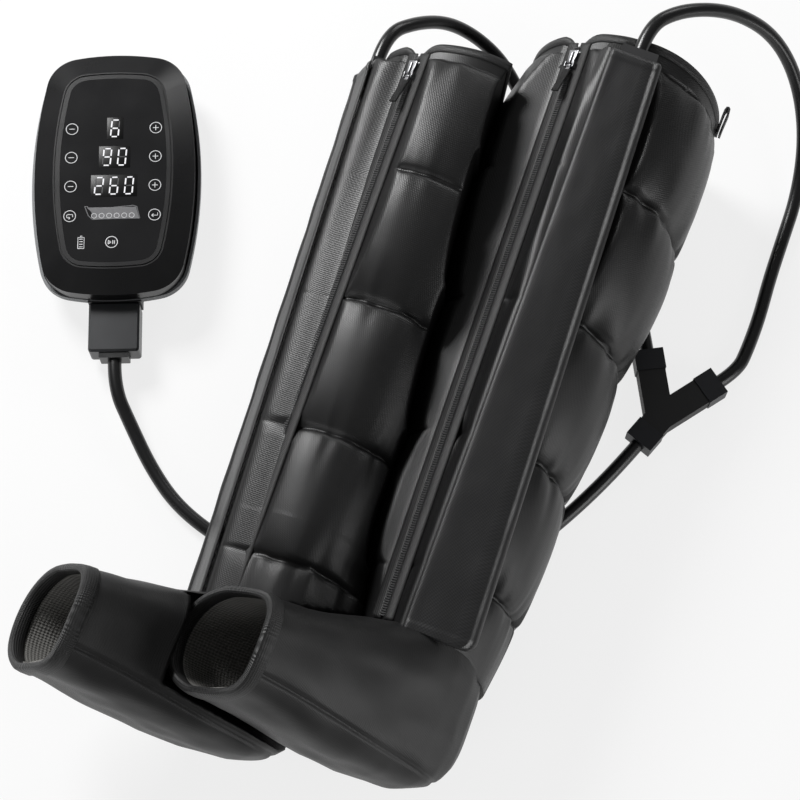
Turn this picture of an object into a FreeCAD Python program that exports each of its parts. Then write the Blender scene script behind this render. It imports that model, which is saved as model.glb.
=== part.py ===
import FreeCAD, Part
import math
import os
import Sketcher
from FreeCAD import Placement, Rotation, Vector

# Compression therapy pump: a hand-held controller, its hose set with a Y splitter, and two inflatable leg
# boots that lie side by side on the floor. Millimetres. The origin is the centre of the controller's base,
# the boots' legs run along +Y with their toes towards -X, and +Z is up.

doc = FreeCAD.newDocument("compression_therapy_pump")

# ---------------------------------------------------------------- driving sizes
SIZES = {
    # controller case
    "case_turn": 21,              # the controller lies turned this far about Z
    "case_wide": 162,
    "case_long": 250,
    "case_side_arc": 430,
    "case_end_arc": 230,
    "case_corner": 34,
    "case_wall": 2.6,
    "case_draft": 13,             # how far the rear shell's base lies inside its rim
    "pad_thick": 2,
    "parting_height": 36,
    "lid_lap": 14,                # straight band of the front shell above the parting line
    "lid_inset": 4.5,
    "lid_height": 62,
    "field_wide": 114.5,            # top edge of the sloping bezel
    "field_long": 203,
    "field_shift": -1,
    "field_side_arc": 400,
    "field_end_arc": 260,
    "field_corner": 24,
    "groove_wide": 1.2,
    "groove_deep": 1,
    "panel_margin": 6.5,
    "panel_thick": 2,
    "panel_gap": 0.2,
    # keys
    "key_wide": 13,
    "key_gap": 0.3,
    "key_cap": 1.2,
    "key_travel": 0.7,
    "key_stem": 4,
    "key_column": 40,
    "key_switch": 6,
    # inside the case
    "rim_height": 28,             # the rear shell's walls stand straight above this
    "lid_ceiling": 57,
    "board_height": 44,
    "board_thick": 1.6,
    "board_wide": 92,
    "board_long": 168,
    "switch_high": 3.5,
    "display_wide": 46,
    "display_long": 86,
    "display_shift": 12,
    "display_gap": 1,
    "boss_wide": 9,
    "boss_x": 56,
    "boss_y": 80,
    "post_x": 41,
    "post_y": 72,
    "screw_head": 6,
    "screw_head_high": 2.4,
    "screw_shank": 3,
    "screw_gap": 0.1,
    "pump_wide": 46,
    "pump_long": 42,
    "pump_high": 26,
    "motor_wide": 24,
    "motor_long": 34,
    "cell_wide": 18,
    "cell_long": 66,
    "valve_wide": 84,
    "valve_long": 22,
    "valve_high": 18,
    "jack_wide": 14,
    "jack_long": 16,
    "jack_high": 10,
    "jack_bore": 6,
    "jack_height": 20,
    "pad_wide": 88,
    "pad_long": 176,
    # outlet and plug
    "outlet_height": 22,
    "plug_wide": 48,
    "plug_long": 49,
    "plug_thick": 24,
    "socket_wide": 50,
    "socket_long": 20,
    "socket_high": 25,
    "tongue_wide": 40,
    "tongue_long": 10,
    "tongue_high": 13,
    "tongue_gap": 0.5,
    "collar_wide": 28,
    "collar_long": 5.5,
    "nozzle_wide": 4,
    "nozzle_long": 8,
    "nozzle_pitch": 6,
    "nozzle_gap": 0.3,
    "hose_wide": 13,
    "hose_sides": 8,
    "fit_gap": 0.3,
    # splitter
    "arm_wide": 26,
    "arm_thick": 18,
    "arm_long": 66,
    "trunk_long": 30,
    "cap_long": 20,
    "cap_proud": 1,
    # boots
    "boot_spacing": 135,
    "boot_shift": -60,
    "ring_tilt": 8,
    "ring_sides": 24,
    "floor_flat": 4,
    "sleeve_wall": 20,
    "bore_over": 3,               # each hollow is cut this far past the ends of its chamber
    "bulge": 8,
    "foot_seam_at": 165,
    "ankle_seam_at": 288,
    "calf_seam_at": 414,
    "knee_seam_at": 538,
    "cuff_seam_at": 659,
    "rim_at": 681,
    "foot_seam_radius": 66,
    "ankle_seam_radius": 70,
    "calf_seam_radius": 79,
    "knee_seam_radius": 92,
    "cuff_seam_radius": 92,
    "cuff_wall": 4,
    "foot_lift": 40,
    "rear_foot_lift": 31,
    "rear_gather": 0.95,
    "flap_drop": 8,              # the toes point this many degrees above the floor
    "heel_back": 48,
    "foot_split": 62,
    "toe_end": 208,
    "binding_long": 11,
    "foot_wide": 130,
    "foot_corner": 44,
    "instep_height": 118,
    "toe_height": 91,
    "toe_wall": 7,
    "toe_slant": 0,              # the toe opening leans this many degrees, its top edge forward
    "press_gap": 2,
    "channel_gap": 2,
    # strips that run up each leg
    "strip_low_at": 122,
    "strip_high_at": 678,
    "zip_low_angle": 132,         # the zip runs a little across the leg
    "zip_high_angle": 124,
    "zip_low_radius": 64,
    "zip_high_radius": 90.5,
    "zip_tape": 26,
    "zip_tape_thick": 1.2,
    "zip_teeth": 6,
    "zip_teeth_high": 2.4,
    "slider_wide": 11,
    "slider_long": 14,
    "slider_high": 6,
    "pull_wide": 7.5,
    "pull_long": 30,
    "pull_thick": 1.6,
    "pull_lift": 15,
    "tube_low_radius": 66,
    "tube_high_radius": 90,
    "tube_wide": 5,
    "tube_pitch": 6.5,
    "tube_bed_wide": 40,
    "manifold_long": 34,
    "manifold_wide": 34,
    "manifold_high": 14,
    "flap_low_radius": 72.5,
    "flap_high_radius": 105,
    "flap_thick": 3,
    "flap_top": 47,
    "flap_bottom": 64,
    "flap_offset": 24,
    "front_flap_angle": 87,
    "rear_flap_angle": 163,
    "loop_wide": 12,
    "loop_long": 32,
    "loop_thick": 4.4,
    # where the front boot stands
    "front_axis_x": 436,
    "front_sole_y": -455,
}

sheet = doc.addObject("Spreadsheet::Sheet", "Sizes")
for row, (alias, value) in enumerate(SIZES.items(), start=1):
    sheet.set(f"A{row}", alias)
    sheet.set(f"B{row}", str(value))
    sheet.setAlias(f"B{row}", alias)
doc.recompute()


def size(alias):
    return float(sheet.get(alias))


def cell(text):
    """Turn plain words into a sheet expression: every known alias gets its sheet prefix."""
    words = sorted(SIZES, key=len, reverse=True)
    out = ""
    at = 0
    while at < len(text):
        hit = next((w for w in words if text.startswith(w, at)), None)
        out += f"Sizes.{hit}" if hit else text[at]
        at += len(hit) if hit else 1
    return out


def bind(thing, **sizes):
    for name, text in sizes.items():
        thing.setExpression(name, cell(text)) if isinstance(text, str) else setattr(thing, name, text)
    return thing


# ---------------------------------------------------------------- building helpers
X_AXIS, Y_AXIS, Z_AXIS = Vector(1, 0, 0), Vector(0, 1, 0), Vector(0, 0, 1)
subparts = {}


def at(x, y, z, axis=Z_AXIS, angle=0.0):
    return Placement(Vector(x, y, z), Rotation(axis, angle))


def primitive(kind, name, place=None, **sizes):
    thing = doc.addObject(f"Part::{kind}", name)
    bind(thing, **sizes)
    if place:
        thing.Placement = place
    return thing


def box(name, long, wide, high, place):
    """A block that stands on the origin of its placement, centred in x and y."""
    block = primitive("Box", name, None, Length=long, Width=wide, Height=high)
    doc.recompute()
    middle = at(-block.Length.Value / 2, -block.Width.Value / 2, 0)
    block.Placement = place.multiply(middle)
    return block


def rod(name, radius, high, place):
    return primitive("Cylinder", name, place, Radius=radius, Height=high)


def prism(name, radius, high, place):
    """A small many-sided rod, for pieces that need no true roundness."""
    return primitive("Prism", name, place, Polygon=8, Circumradius=radius, Height=high)


def fuse(name, shapes):
    joined = doc.addObject("Part::MultiFuse", name)
    joined.Shapes = shapes
    joined.Refine = True
    return joined


def cut(name, base, tool):
    rest = doc.addObject("Part::Cut", name)
    rest.Base = base
    rest.Tool = tool
    return rest


def group(name, shapes):
    together = doc.addObject("Part::Compound", name)
    together.Links = shapes
    return together


def finish(label, thing, place=None):
    """Register a sub-part under the name of its file, and put it where it belongs."""
    thing.Label = label
    if place:
        thing.Placement = place
    subparts[label] = thing
    return thing


def plane_of(body, role):
    return next(feature for feature in body.Origin.OriginFeatures if feature.Role == role)


def sketch_on(body, name, height="0", role="XY_Plane"):
    sketch = body.newObject("Sketcher::SketchObject", name)
    sketch.AttachmentSupport = (plane_of(body, role), [""])
    sketch.MapMode = "FlatFace"
    sketch.setExpression("AttachmentOffset.Base.z", cell(height))
    return sketch


def constrain(sketch, name, text, *arguments):
    """Add a dimension that follows the sheet; its start value is worked out by the same expression."""
    index = sketch.addConstraint(Sketcher.Constraint(*arguments))
    sketch.renameConstraint(index, name)
    sketch.setExpression(f"Constraints.{name}", cell(text))


def work_out(text):
    """The value of a sheet expression made of aliases, numbers and arithmetic."""
    probe = doc.addObject("App::FeaturePython", "probe")
    probe.addProperty("App::PropertyFloat", "Value")
    probe.setExpression("Value", cell(text))
    doc.recompute([probe])
    value = probe.Value
    doc.removeObject(probe.Name)
    return value


def barrel(sketch, wide, long, side, end, corner, shift="0"):
    """A closed outline of eight tangent arcs: bowed sides, bowed ends and round corners."""
    w, l, s, e, c, y0 = (work_out(text) for text in (wide, long, side, end, corner, shift))
    side_x, end_y = s - w / 2, e - l / 2
    # the corner's centre lies s - c from the side arc's centre and e - c from the end arc's
    gap = math.hypot(side_x, end_y)
    along = ((s - c) ** 2 - (e - c) ** 2 + gap ** 2) / (2 * gap)
    off = math.sqrt((s - c) ** 2 - along ** 2)
    ux, uy = side_x / gap, -end_y / gap
    corner_x, corner_y = -side_x + ux * along - uy * off, uy * along + ux * off
    a_side = math.atan2(corner_y, corner_x + side_x)
    a_end = math.atan2(corner_y + end_y, corner_x)

    def arc(cx, cy, radius, start, stop):
        circle = Part.Circle(Vector(cx, y0 + cy, 0), Z_AXIS, radius)
        return sketch.addGeometry(Part.ArcOfCircle(circle, start, stop), False)

    turn = math.pi
    arc(-side_x, 0, s, -a_side, a_side)
    arc(corner_x, corner_y, c, a_side, a_end)
    arc(0, -end_y, e, a_end, turn - a_end)
    arc(-corner_x, corner_y, c, turn - a_end, turn - a_side)
    arc(side_x, 0, s, turn - a_side, turn + a_side)
    arc(-corner_x, -corner_y, c, turn + a_side, turn + a_end)
    arc(0, end_y, e, turn + a_end, 2 * turn - a_end)
    arc(corner_x, -corner_y, c, 2 * turn - a_end, 2 * turn - a_side)
    for index in range(8):
        sketch.addConstraint(Sketcher.Constraint("Tangent", index, 2, (index + 1) % 8, 1))
    for first, second in ((0, 4), (2, 6), (1, 3), (1, 5), (1, 7)):
        sketch.addConstraint(Sketcher.Constraint("Equal", first, second))
    for end_arc in (2, 6):
        sketch.addConstraint(Sketcher.Constraint("PointOnObject", end_arc, 3, -2))
    constrain(sketch, "side", side, "Radius", 0, s)
    constrain(sketch, "end", end, "Radius", 2, e)
    constrain(sketch, "corner", corner, "Radius", 1, c)
    constrain(sketch, "right", f"{side} - ({wide}) / 2", "DistanceX", 0, 3, -1, 1, side_x)
    constrain(sketch, "left", f"{side} - ({wide}) / 2", "DistanceX", -1, 1, 4, 3, side_x)
    constrain(sketch, "top", f"{end} - ({long}) / 2 - ({shift})", "DistanceY", 2, 3, -1, 1, end_y - y0)
    constrain(sketch, "bottom", f"{end} - ({long}) / 2 + ({shift})", "DistanceY", -1, 1, 6, 3, end_y + y0)
    return sketch


def round_box(sketch, wide, long, corner, x="0", y="0"):
    """A rectangle with round corners, centred on x, y."""
    w, l, c, x0, y0 = (work_out(text) for text in (wide, long, corner, x, y))
    left, right, low, high = x0 - w / 2, x0 + w / 2, y0 - l / 2, y0 + l / 2
    first = sketch.GeometryCount

    def line(xa, ya, xb, yb):
        sketch.addGeometry(Part.LineSegment(Vector(xa, ya, 0), Vector(xb, yb, 0)), False)

    def arc(cx, cy, start):
        circle = Part.Circle(Vector(cx, cy, 0), Z_AXIS, c)
        sketch.addGeometry(Part.ArcOfCircle(circle, start, start + math.pi / 2), False)

    line(right, low + c, right, high - c)
    arc(right - c, high - c, 0)
    line(right - c, high, left + c, high)
    arc(left + c, high - c, math.pi / 2)
    line(left, high - c, left, low + c)
    arc(left + c, low + c, math.pi)
    line(left + c, low, right - c, low)
    arc(right - c, low + c, 1.5 * math.pi)
    for index in range(8):
        after = first + (index + 1) % 8
        sketch.addConstraint(Sketcher.Constraint("Tangent", first + index, 2, after, 1))
    sketch.addConstraint(Sketcher.Constraint("Vertical", first))
    sketch.addConstraint(Sketcher.Constraint("Horizontal", first + 2))
    for other in (3, 5, 7):
        sketch.addConstraint(Sketcher.Constraint("Equal", first + 1, first + other))
    constrain(sketch, f"corner{first}", corner, "Radius", first + 1, c)
    constrain(sketch, f"wide{first}", wide, "DistanceX", first + 4, 1, first, 1, w)
    constrain(sketch, f"long{first}", long, "DistanceY", first + 6, 1, first + 2, 1, l)
    constrain(sketch, f"right{first}", f"({x}) + ({wide}) / 2", "DistanceX", -1, 1, first, 1, right)
    constrain(sketch, f"high{first}", f"({y}) + ({long}) / 2", "DistanceY", -1, 1, first + 2, 1, high)
    return sketch


def circles(sketch, radius, centres):
    """Equal holes or discs; each centre is a pair of expressions."""
    for number, (x, y) in enumerate(centres):
        cx, cy, r = work_out(x), work_out(y), work_out(radius)
        index = sketch.addGeometry(Part.Circle(Vector(cx, cy, 0), Z_AXIS, r), False)
        constrain(sketch, f"radius{number}", radius, "Radius", index, r)
        if abs(cx) > 0:
            constrain(sketch, f"x{number}", x, "DistanceX", -1, 1, index, 3, cx)
        else:
            sketch.addConstraint(Sketcher.Constraint("PointOnObject", index, 3, -2))
        constrain(sketch, f"y{number}", y, "DistanceY", -1, 1, index, 3, cy)
    return sketch


def squares(sketch, wide, centres):
    """Equal square holes or posts; each centre is a pair of expressions."""
    for number, (x, y) in enumerate(centres):
        cx, cy, half = work_out(x), work_out(y), work_out(wide) / 2
        corners = [Vector(cx + sx * half, cy + sy * half, 0) for sx, sy in ((1, -1), (1, 1), (-1, 1), (-1, -1))]
        first = sketch.GeometryCount
        for start, stop in zip(corners, corners[1:] + corners[:1]):
            sketch.addGeometry(Part.LineSegment(start, stop), False)
        for index in range(4):
            after = first + (index + 1) % 4
            sketch.addConstraint(Sketcher.Constraint("Coincident", first + index, 2, after, 1))
            level = "Vertical" if index % 2 == 0 else "Horizontal"
            sketch.addConstraint(Sketcher.Constraint(level, first + index))
        constrain(sketch, f"wide{number}", wide, "DistanceX", first + 2, 1, first, 1, 2 * half)
        constrain(sketch, f"long{number}", wide, "DistanceY", first, 1, first, 2, 2 * half)
        constrain(sketch, f"right{number}", f"({x}) + ({wide}) / 2", "DistanceX", -1, 1, first, 1, cx + half)
        constrain(sketch, f"high{number}", f"({y}) + ({wide}) / 2", "DistanceY", -1, 1, first, 2, cy + half)
    return sketch


def pad(body, sketch, length):
    feature = body.newObject("PartDesign::Pad", "Pad")
    feature.Profile = sketch
    feature.setExpression("Length", cell(length))
    return feature


def pocket(body, sketch, length, reverse=False):
    """Cut a sketch's area downwards from its plane, or upwards when reversed."""
    feature = body.newObject("PartDesign::Pocket", "Pocket")
    feature.Profile = sketch
    feature.setExpression("Length", cell(length))
    feature.Reversed = reverse
    return feature


def loft(body, sketches, subtract=False):
    kind = "SubtractiveLoft" if subtract else "AdditiveLoft"
    feature = body.newObject(f"PartDesign::{kind}", kind)
    feature.Profile = sketches[0]
    feature.Sections = sketches[1:]
    feature.Ruled = True
    return feature


def new_body(name):
    return doc.addObject("PartDesign::Body", name)


# ---------------------------------------------------------------- controller
CASE = at(0, 0, 0, Z_AXIS, size("case_turn"))
CORNERS = [(sx, sy) for sx in (-1, 1) for sy in (-1, 1)]


def case_outline(sketch, inset):
    """The rear shell's outline, pulled in all round."""
    return barrel(sketch, f"case_wide - 2 * ({inset})", f"case_long - 2 * ({inset})",
                  f"case_side_arc - ({inset})", f"case_end_arc - ({inset})", f"case_corner - ({inset})")


def lid_outline(sketch, inset):
    return barrel(sketch, f"case_wide - 2 * lid_inset - 2 * ({inset})", f"case_long - 2 * ({inset}) - 1",
                  f"case_side_arc + 40 - ({inset})", f"case_end_arc - ({inset})", f"case_corner - ({inset})")


def field_outline(sketch, inset):
    """The raised field in the middle of the front, where the bezel's slope ends."""
    return barrel(sketch, f"field_wide - 2 * ({inset})", f"field_long - 2 * ({inset})",
                  f"field_side_arc - ({inset})", f"field_end_arc - ({inset})",
                  f"field_corner - ({inset})", "field_shift")


def key_places():
    """Column and row of every key, from the panel's centre: three pairs, two corner keys and the start key."""
    rows = {"mode": "41.3", "time": "11.5", "pressure": "-18.3"}
    places = {}
    for name, row in rows.items():
        places[f"{name}_minus_key"] = ("-key_column", row)
        places[f"{name}_plus_key"] = ("key_column", row)
    places["position_key"] = ("-key_column", "-48.7")
    places["confirm_key"] = ("key_column", "-48.7")
    places["start_pause_key"] = ("0", "-75.8")
    return places


def make_rear_shell():
    body = new_body("rear_shell_body")
    loft(body, [case_outline(sketch_on(body, "rear_base", "pad_thick"), "case_draft"),
                case_outline(sketch_on(body, "rear_rim", "rim_height"), "0")])
    pad(body, case_outline(sketch_on(body, "rear_wall", "rim_height"), "0"), "parting_height - rim_height")
    doc.recompute()
    loft(body, [case_outline(sketch_on(body, "rear_floor", "pad_thick + case_wall"), "case_draft + 1"),
                case_outline(sketch_on(body, "rear_inside", "rim_height"), "case_wall")], subtract=True)
    inside = case_outline(sketch_on(body, "rear_mouth", "rim_height"), "case_wall")
    pocket(body, inside, "parting_height - rim_height", reverse=True)
    doc.recompute()
    bosses = [prism(f"rear_boss_{n}", "boss_wide / 2", "parting_height - pad_thick - 1",
                  at(x * size("boss_x"), y * size("boss_y"), size("pad_thick") + 1))
              for n, (x, y) in enumerate(CORNERS)]
    holes = [prism(f"rear_hole_{n}", "screw_shank / 2 + screw_gap", "parting_height",
                 at(x * size("boss_x"), y * size("boss_y"), 0)) for n, (x, y) in enumerate(CORNERS)]
    sinks = [prism(f"rear_sink_{n}", "screw_head / 2 + screw_gap", "screw_head_high",
                 at(x * size("boss_x"), y * size("boss_y"), size("pad_thick"))) for n, (x, y) in enumerate(CORNERS)]
    outlet = box("outlet_opening", "socket_wide + 2 * fit_gap", "socket_long + case_wall", "socket_high + 2 * fit_gap",
                 at(0, -size("case_long") / 2 + size("socket_long") / 2,
                    size("outlet_height") - size("socket_high") / 2 - size("fit_gap")))
    jack = box("jack_opening", "jack_wide + 2 * fit_gap", "jack_long + 2 * case_wall", "jack_high + 2 * fit_gap",
               at(0, size("case_long") / 2 - size("jack_long") / 2,
                  size("jack_height") - size("jack_high") / 2 - size("fit_gap")))
    shell = fuse("rear_shell_bossed", [body] + bosses)
    return cut("rear_shell", shell, group("rear_shell_cuts", holes + sinks + [outlet, jack]))


def make_front_shell():
    body = new_body("front_shell_body")
    pad(body, lid_outline(sketch_on(body, "lid_edge", "parting_height"), "0"), "lid_lap")
    loft(body, [lid_outline(sketch_on(body, "bezel_low", "parting_height + lid_lap"), "0"),
                field_outline(sketch_on(body, "bezel_high", "lid_height"), "0")])
    doc.recompute()
    hollow = lid_outline(sketch_on(body, "lid_inside", "parting_height"), "case_wall")
    pocket(body, hollow, "lid_lap", reverse=True)
    loft(body, [lid_outline(sketch_on(body, "hollow_low", "parting_height + lid_lap"), "case_wall"),
                field_outline(sketch_on(body, "hollow_high", "lid_ceiling"), "2 * case_wall")], subtract=True)
    doc.recompute()
    groove = sketch_on(body, "groove", "lid_height")
    field_outline(groove, "groove_wide")
    pocket(body, groove, "groove_deep")
    land = field_outline(sketch_on(body, "land", "lid_height - groove_deep"), "2 * groove_wide")
    pad(body, land, "groove_deep")
    recess = field_outline(sketch_on(body, "recess", "lid_height"), "panel_margin")
    pocket(body, recess, "panel_thick")
    window = sketch_on(body, "window", "lid_height")
    round_box(window, "display_wide + 2 * display_gap", "display_long + 2 * display_gap", "3",
              "0", "display_shift")
    pocket(body, window, "lid_height - parting_height")
    stems = squares(sketch_on(body, "stem_holes", "lid_height"), "key_stem + 2 * key_gap",
                    list(key_places().values()))
    pocket(body, stems, "lid_height - parting_height")
    doc.recompute()
    top = size("board_height") + size("board_thick")
    posts = [prism(f"board_post_{n}", "3", "lid_ceiling + 1 - board_height - board_thick",
                 at(x * size("post_x"), y * size("post_y") + size("field_shift"), top))
             for n, (x, y) in enumerate(CORNERS)]
    bosses = [prism(f"lid_boss_{n}", "boss_wide / 2", "lid_lap + 3.5",
                  at(x * size("boss_x"), y * size("boss_y"), size("parting_height")))
              for n, (x, y) in enumerate(CORNERS)]
    holes = [prism(f"lid_hole_{n}", "screw_shank / 2 + screw_gap", "12",
                 at(x * size("boss_x"), y * size("boss_y"), size("parting_height"))) for n, (x, y) in enumerate(CORNERS)]
    return cut("front_shell", fuse("front_shell_bossed", [body] + posts + bosses), group("lid_holes", holes))


def make_front_panel():
    body = new_body("front_panel")
    plate = field_outline(sketch_on(body, "panel_edge", "lid_height - panel_thick"), "panel_margin + panel_gap")
    pad(body, plate, "panel_thick")
    doc.recompute()
    holes = circles(sketch_on(body, "key_holes", "lid_height"), "key_wide / 2 + key_gap", list(key_places().values()))
    pocket(body, holes, "panel_thick")
    return body


def make_key(name, x, y):
    """A disc that fills its hole in the panel, on a square stem that reaches down to its switch."""
    body = new_body(name)
    top = "board_height + board_thick + switch_high + key_travel + 0.1"
    cap = circles(sketch_on(body, f"{name}_cap", "lid_height - key_cap"), "key_wide / 2", [(x, y)])
    pad(body, cap, "key_cap")
    stem = squares(sketch_on(body, f"{name}_stem", top), "key_stem", [(x, y)])
    pad(body, stem, f"lid_height - key_cap - ({top})")
    return body


def make_switches():
    top = size("board_height") + size("board_thick")
    return group("key_switches", [box(f"switch_{n}", "key_switch", "key_switch", "switch_high",
                                      at(work_out(x), work_out(y), top))
                                  for n, (x, y) in enumerate(key_places().values())])


def make_battery(place):
    """Three round cells side by side in one shrink wrap."""
    lying = Rotation(Y_AXIS, 90)
    pitch = size("cell_wide") + size("fit_gap")
    cells = [rod(f"battery_cell_{n}", "cell_wide / 2", "cell_long",
                 Placement(Vector(-size("cell_long") / 2, n * pitch, size("cell_wide") / 2), lying))
             for n in (-1, 0, 1)]
    wrap = box("battery_wrap", "cell_long - 4", "2 * cell_wide", "cell_wide - 2", at(0, 0, 1))
    return finish("battery_pack", fuse("battery_pack", cells + [wrap]), place)


def make_pump(place):
    """A diaphragm pump head with its motor standing out of one end and a spigot on top."""
    head = box("pump_head", "pump_wide", "pump_long", "pump_high", at(0, 0, 0))
    motor = rod("pump_motor", "motor_wide / 2", "motor_long",
                at(0, size("pump_long") / 2, size("pump_high") / 2, X_AXIS, -90))
    spigot = rod("pump_spigot", "nozzle_wide / 2 + 1", "8", at(12, -size("pump_long") / 2 + 8, size("pump_high") - 1))
    return finish("air_pump", fuse("air_pump", [head, motor, spigot]), place)


def nozzle_places():
    """Six air ways in two rows of three, across and up."""
    pitch = size("nozzle_pitch")
    return [(column * 2 * pitch, level * pitch / 2) for column in (-1, 0, 1) for level in (-1, 1)]


def make_valves(place):
    block = box("valve_body", "valve_wide", "valve_long", "valve_high", at(0, 0, 0))
    coils = [box(f"valve_coil_{n}", "10", "valve_long - 4", "6", at((n - 2.5) * 13.5, 0, size("valve_high")))
             for n in range(6)]
    stubs = [prism(f"valve_stub_{n}", "nozzle_wide / 2", "7",
                 at(x, -size("valve_long") / 2, size("valve_high") / 2 + z, X_AXIS, 90))
             for n, (x, z) in enumerate(nozzle_places())]
    return finish("valve_block", fuse("valve_block", [block] + coils + stubs), place)


def make_outlet_socket():
    """The case's side of the air coupling: six nozzles that stand in a recess."""
    mouth = -size("case_long") / 2
    height = size("outlet_height")
    block = box("socket_block", "socket_wide", "socket_long", "socket_high",
                at(0, mouth + size("socket_long") / 2, height - size("socket_high") / 2))
    recess = box("socket_recess", "tongue_wide + 2 * tongue_gap", "tongue_long + tongue_gap",
                 "tongue_high + 2 * tongue_gap",
                 at(0, mouth + (size("tongue_long") + size("tongue_gap")) / 2,
                    height - size("tongue_high") / 2 - size("tongue_gap")))
    back = mouth + size("tongue_long") + size("tongue_gap") + 1
    nozzles = [prism(f"socket_nozzle_{n}", "nozzle_wide / 2", "nozzle_long + 1", at(x, back, height + z, X_AXIS, 90))
               for n, (x, z) in enumerate(nozzle_places())]
    return fuse("outlet_socket", [cut("socket_shell", block, recess)] + nozzles)


def make_charge_port():
    outer = size("case_long") / 2 - 3
    block = box("jack_block", "jack_wide", "jack_long", "jack_high",
                at(0, outer - size("jack_long") / 2, size("jack_height") - size("jack_high") / 2))
    bore = rod("jack_hole", "jack_bore / 2", "jack_long - 4", at(0, outer, size("jack_height"), X_AXIS, 90))
    return cut("charge_port", block, bore)


def make_screws():
    screws = []
    for n, (x, y) in enumerate(CORNERS):
        low = at(x * size("boss_x"), y * size("boss_y"), size("pad_thick"))
        head = prism(f"screw_head_{n}", "screw_head / 2", "screw_head_high", low)
        shank = prism(f"screw_shank_{n}", "screw_shank / 2", "parting_height + 8", low)
        screws.append(fuse(f"screw_{n}", [head, shank]))
    return group("case_screws", screws)


def make_base_pad():
    body = new_body("base_pad")
    sole = barrel(sketch_on(body, "pad_outline"), "pad_wide", "pad_long", "case_side_arc", "case_end_arc", "20")
    pad(body, sole, "pad_thick")
    return body


def make_controller():
    finish("rear_shell", make_rear_shell(), CASE)
    finish("front_shell", make_front_shell(), CASE)
    finish("front_panel", make_front_panel(), CASE)
    for name, (x, y) in key_places().items():
        finish(name, make_key(name, x, y), CASE)
    finish("key_switches", make_switches(), CASE)
    board = box("circuit_board", "board_wide", "board_long", "board_thick",
                at(0, size("field_shift"), size("board_height")))
    finish("circuit_board", board, CASE.multiply(board.Placement))
    display = box("display_module", "display_wide", "display_long",
                  "lid_height - panel_thick - fit_gap - board_height - board_thick",
                  at(0, size("display_shift"), size("board_height") + size("board_thick")))
    finish("display_module", display, CASE.multiply(display.Placement))
    floor = size("pad_thick") + size("case_wall")
    make_battery(CASE.multiply(at(-17, 47, floor)))
    make_pump(CASE.multiply(at(35, -3, floor)))
    make_valves(CASE.multiply(at(0, -66, floor)))
    finish("outlet_socket", make_outlet_socket(), CASE)
    finish("charge_port", make_charge_port(), CASE)
    finish("case_screws", make_screws(), CASE)
    finish("base_pad", make_base_pad(), CASE)


make_controller()


# ---------------------------------------------------------------- plug, splitter and hoses
SPLIT = Vector(565, -46, size("arm_thick") / 2 + size("cap_proud"))
SPLIT_ARMS = {"left": Vector(-0.455, 0.891, 0), "right": Vector(0.608, 0.794, 0), "trunk": Vector(-0.36, -0.933, 0)}


def bevel_edges(body, feature, reach, keep):
    """Bevel every edge whose ends all pass the test."""
    doc.recompute()
    names = [f"Edge{n}" for n, edge in enumerate(feature.Shape.Edges, start=1)
             if all(keep(vertex.Point) for vertex in edge.Vertexes)]
    bevel = body.newObject("PartDesign::Chamfer", "Chamfer")
    bevel.Base = (feature, names)
    bevel.setExpression("Size", cell(reach))
    return bevel


def make_plug():
    """The hose set's side of the coupling: a block whose tongue slips over the six nozzles."""
    face = -size("case_long") / 2 - size("fit_gap")
    height = size("outlet_height")
    body = new_body("plug_block")
    outline = sketch_on(body, "plug_outline", "outlet_height - plug_thick / 2")
    round_box(outline, "plug_wide", "plug_long", "3", "0", "-(case_long / 2 + fit_gap + plug_long / 2)")
    block = pad(body, outline, "plug_thick")
    top = height + size("plug_thick") / 2
    bevel_edges(body, block, "2", lambda point: abs(point.z - top) < 0.01)
    tongue = box("plug_tongue", "tongue_wide", "tongue_long + 1", "tongue_high",
                 at(0, face + (size("tongue_long") - 1) / 2, height - size("tongue_high") / 2))
    bores = [prism(f"plug_bore_{n}", "nozzle_wide / 2 + nozzle_gap", "nozzle_long + 1",
                 at(x, face + size("tongue_long"), height + z, X_AXIS, 90))
             for n, (x, z) in enumerate(nozzle_places())]
    finish("plug_body", cut("plug_body", fuse("plug_with_tongue", [body, tongue]), group("plug_bores", bores)), CASE)
    collar = new_body("plug_collar")
    rim = sketch_on(collar, "collar_outline", "outlet_height - 9")
    round_box(rim, "collar_wide", "collar_long", "1", "0",
              "-(case_long / 2 + fit_gap + plug_long + collar_long / 2)")
    pad(collar, rim, "18")
    finish("plug_collar", collar, CASE)


def make_splitter():
    """Three flat arms that meet in a Y, each closed by a sleeve where its hose goes in."""
    arms, caps = [], []
    for name, way in SPLIT_ARMS.items():
        long = "trunk_long" if name == "trunk" else "arm_long"
        facing = Placement(SPLIT, Rotation(Y_AXIS, way))
        drop = -size("arm_thick") / 2
        arms.append(box(f"{name}_arm", "arm_wide", long, "arm_thick",
                        facing.multiply(at(0, size(long) / 2, drop))))
        sleeve = box(f"{name}_sleeve", "arm_wide + 2 * cap_proud", "cap_long", "arm_thick + 2 * cap_proud",
                     facing.multiply(at(0, size(long) + 2 * size("cap_proud") - size("cap_long") / 2,
                                        drop - size("cap_proud"))))
        inner = box(f"{name}_inner", "arm_wide", long, "arm_thick", facing.multiply(at(0, size(long) / 2, drop)))
        caps.append(cut(f"{name}_cap", sleeve, inner))
    hub = rod("splitter_hub", "arm_wide / 2", "arm_thick", at(SPLIT.x, SPLIT.y, SPLIT.z - size("arm_thick") / 2))
    finish("splitter_body", fuse("splitter_body", arms + [hub]))
    finish("splitter_caps", group("splitter_caps", caps))


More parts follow.
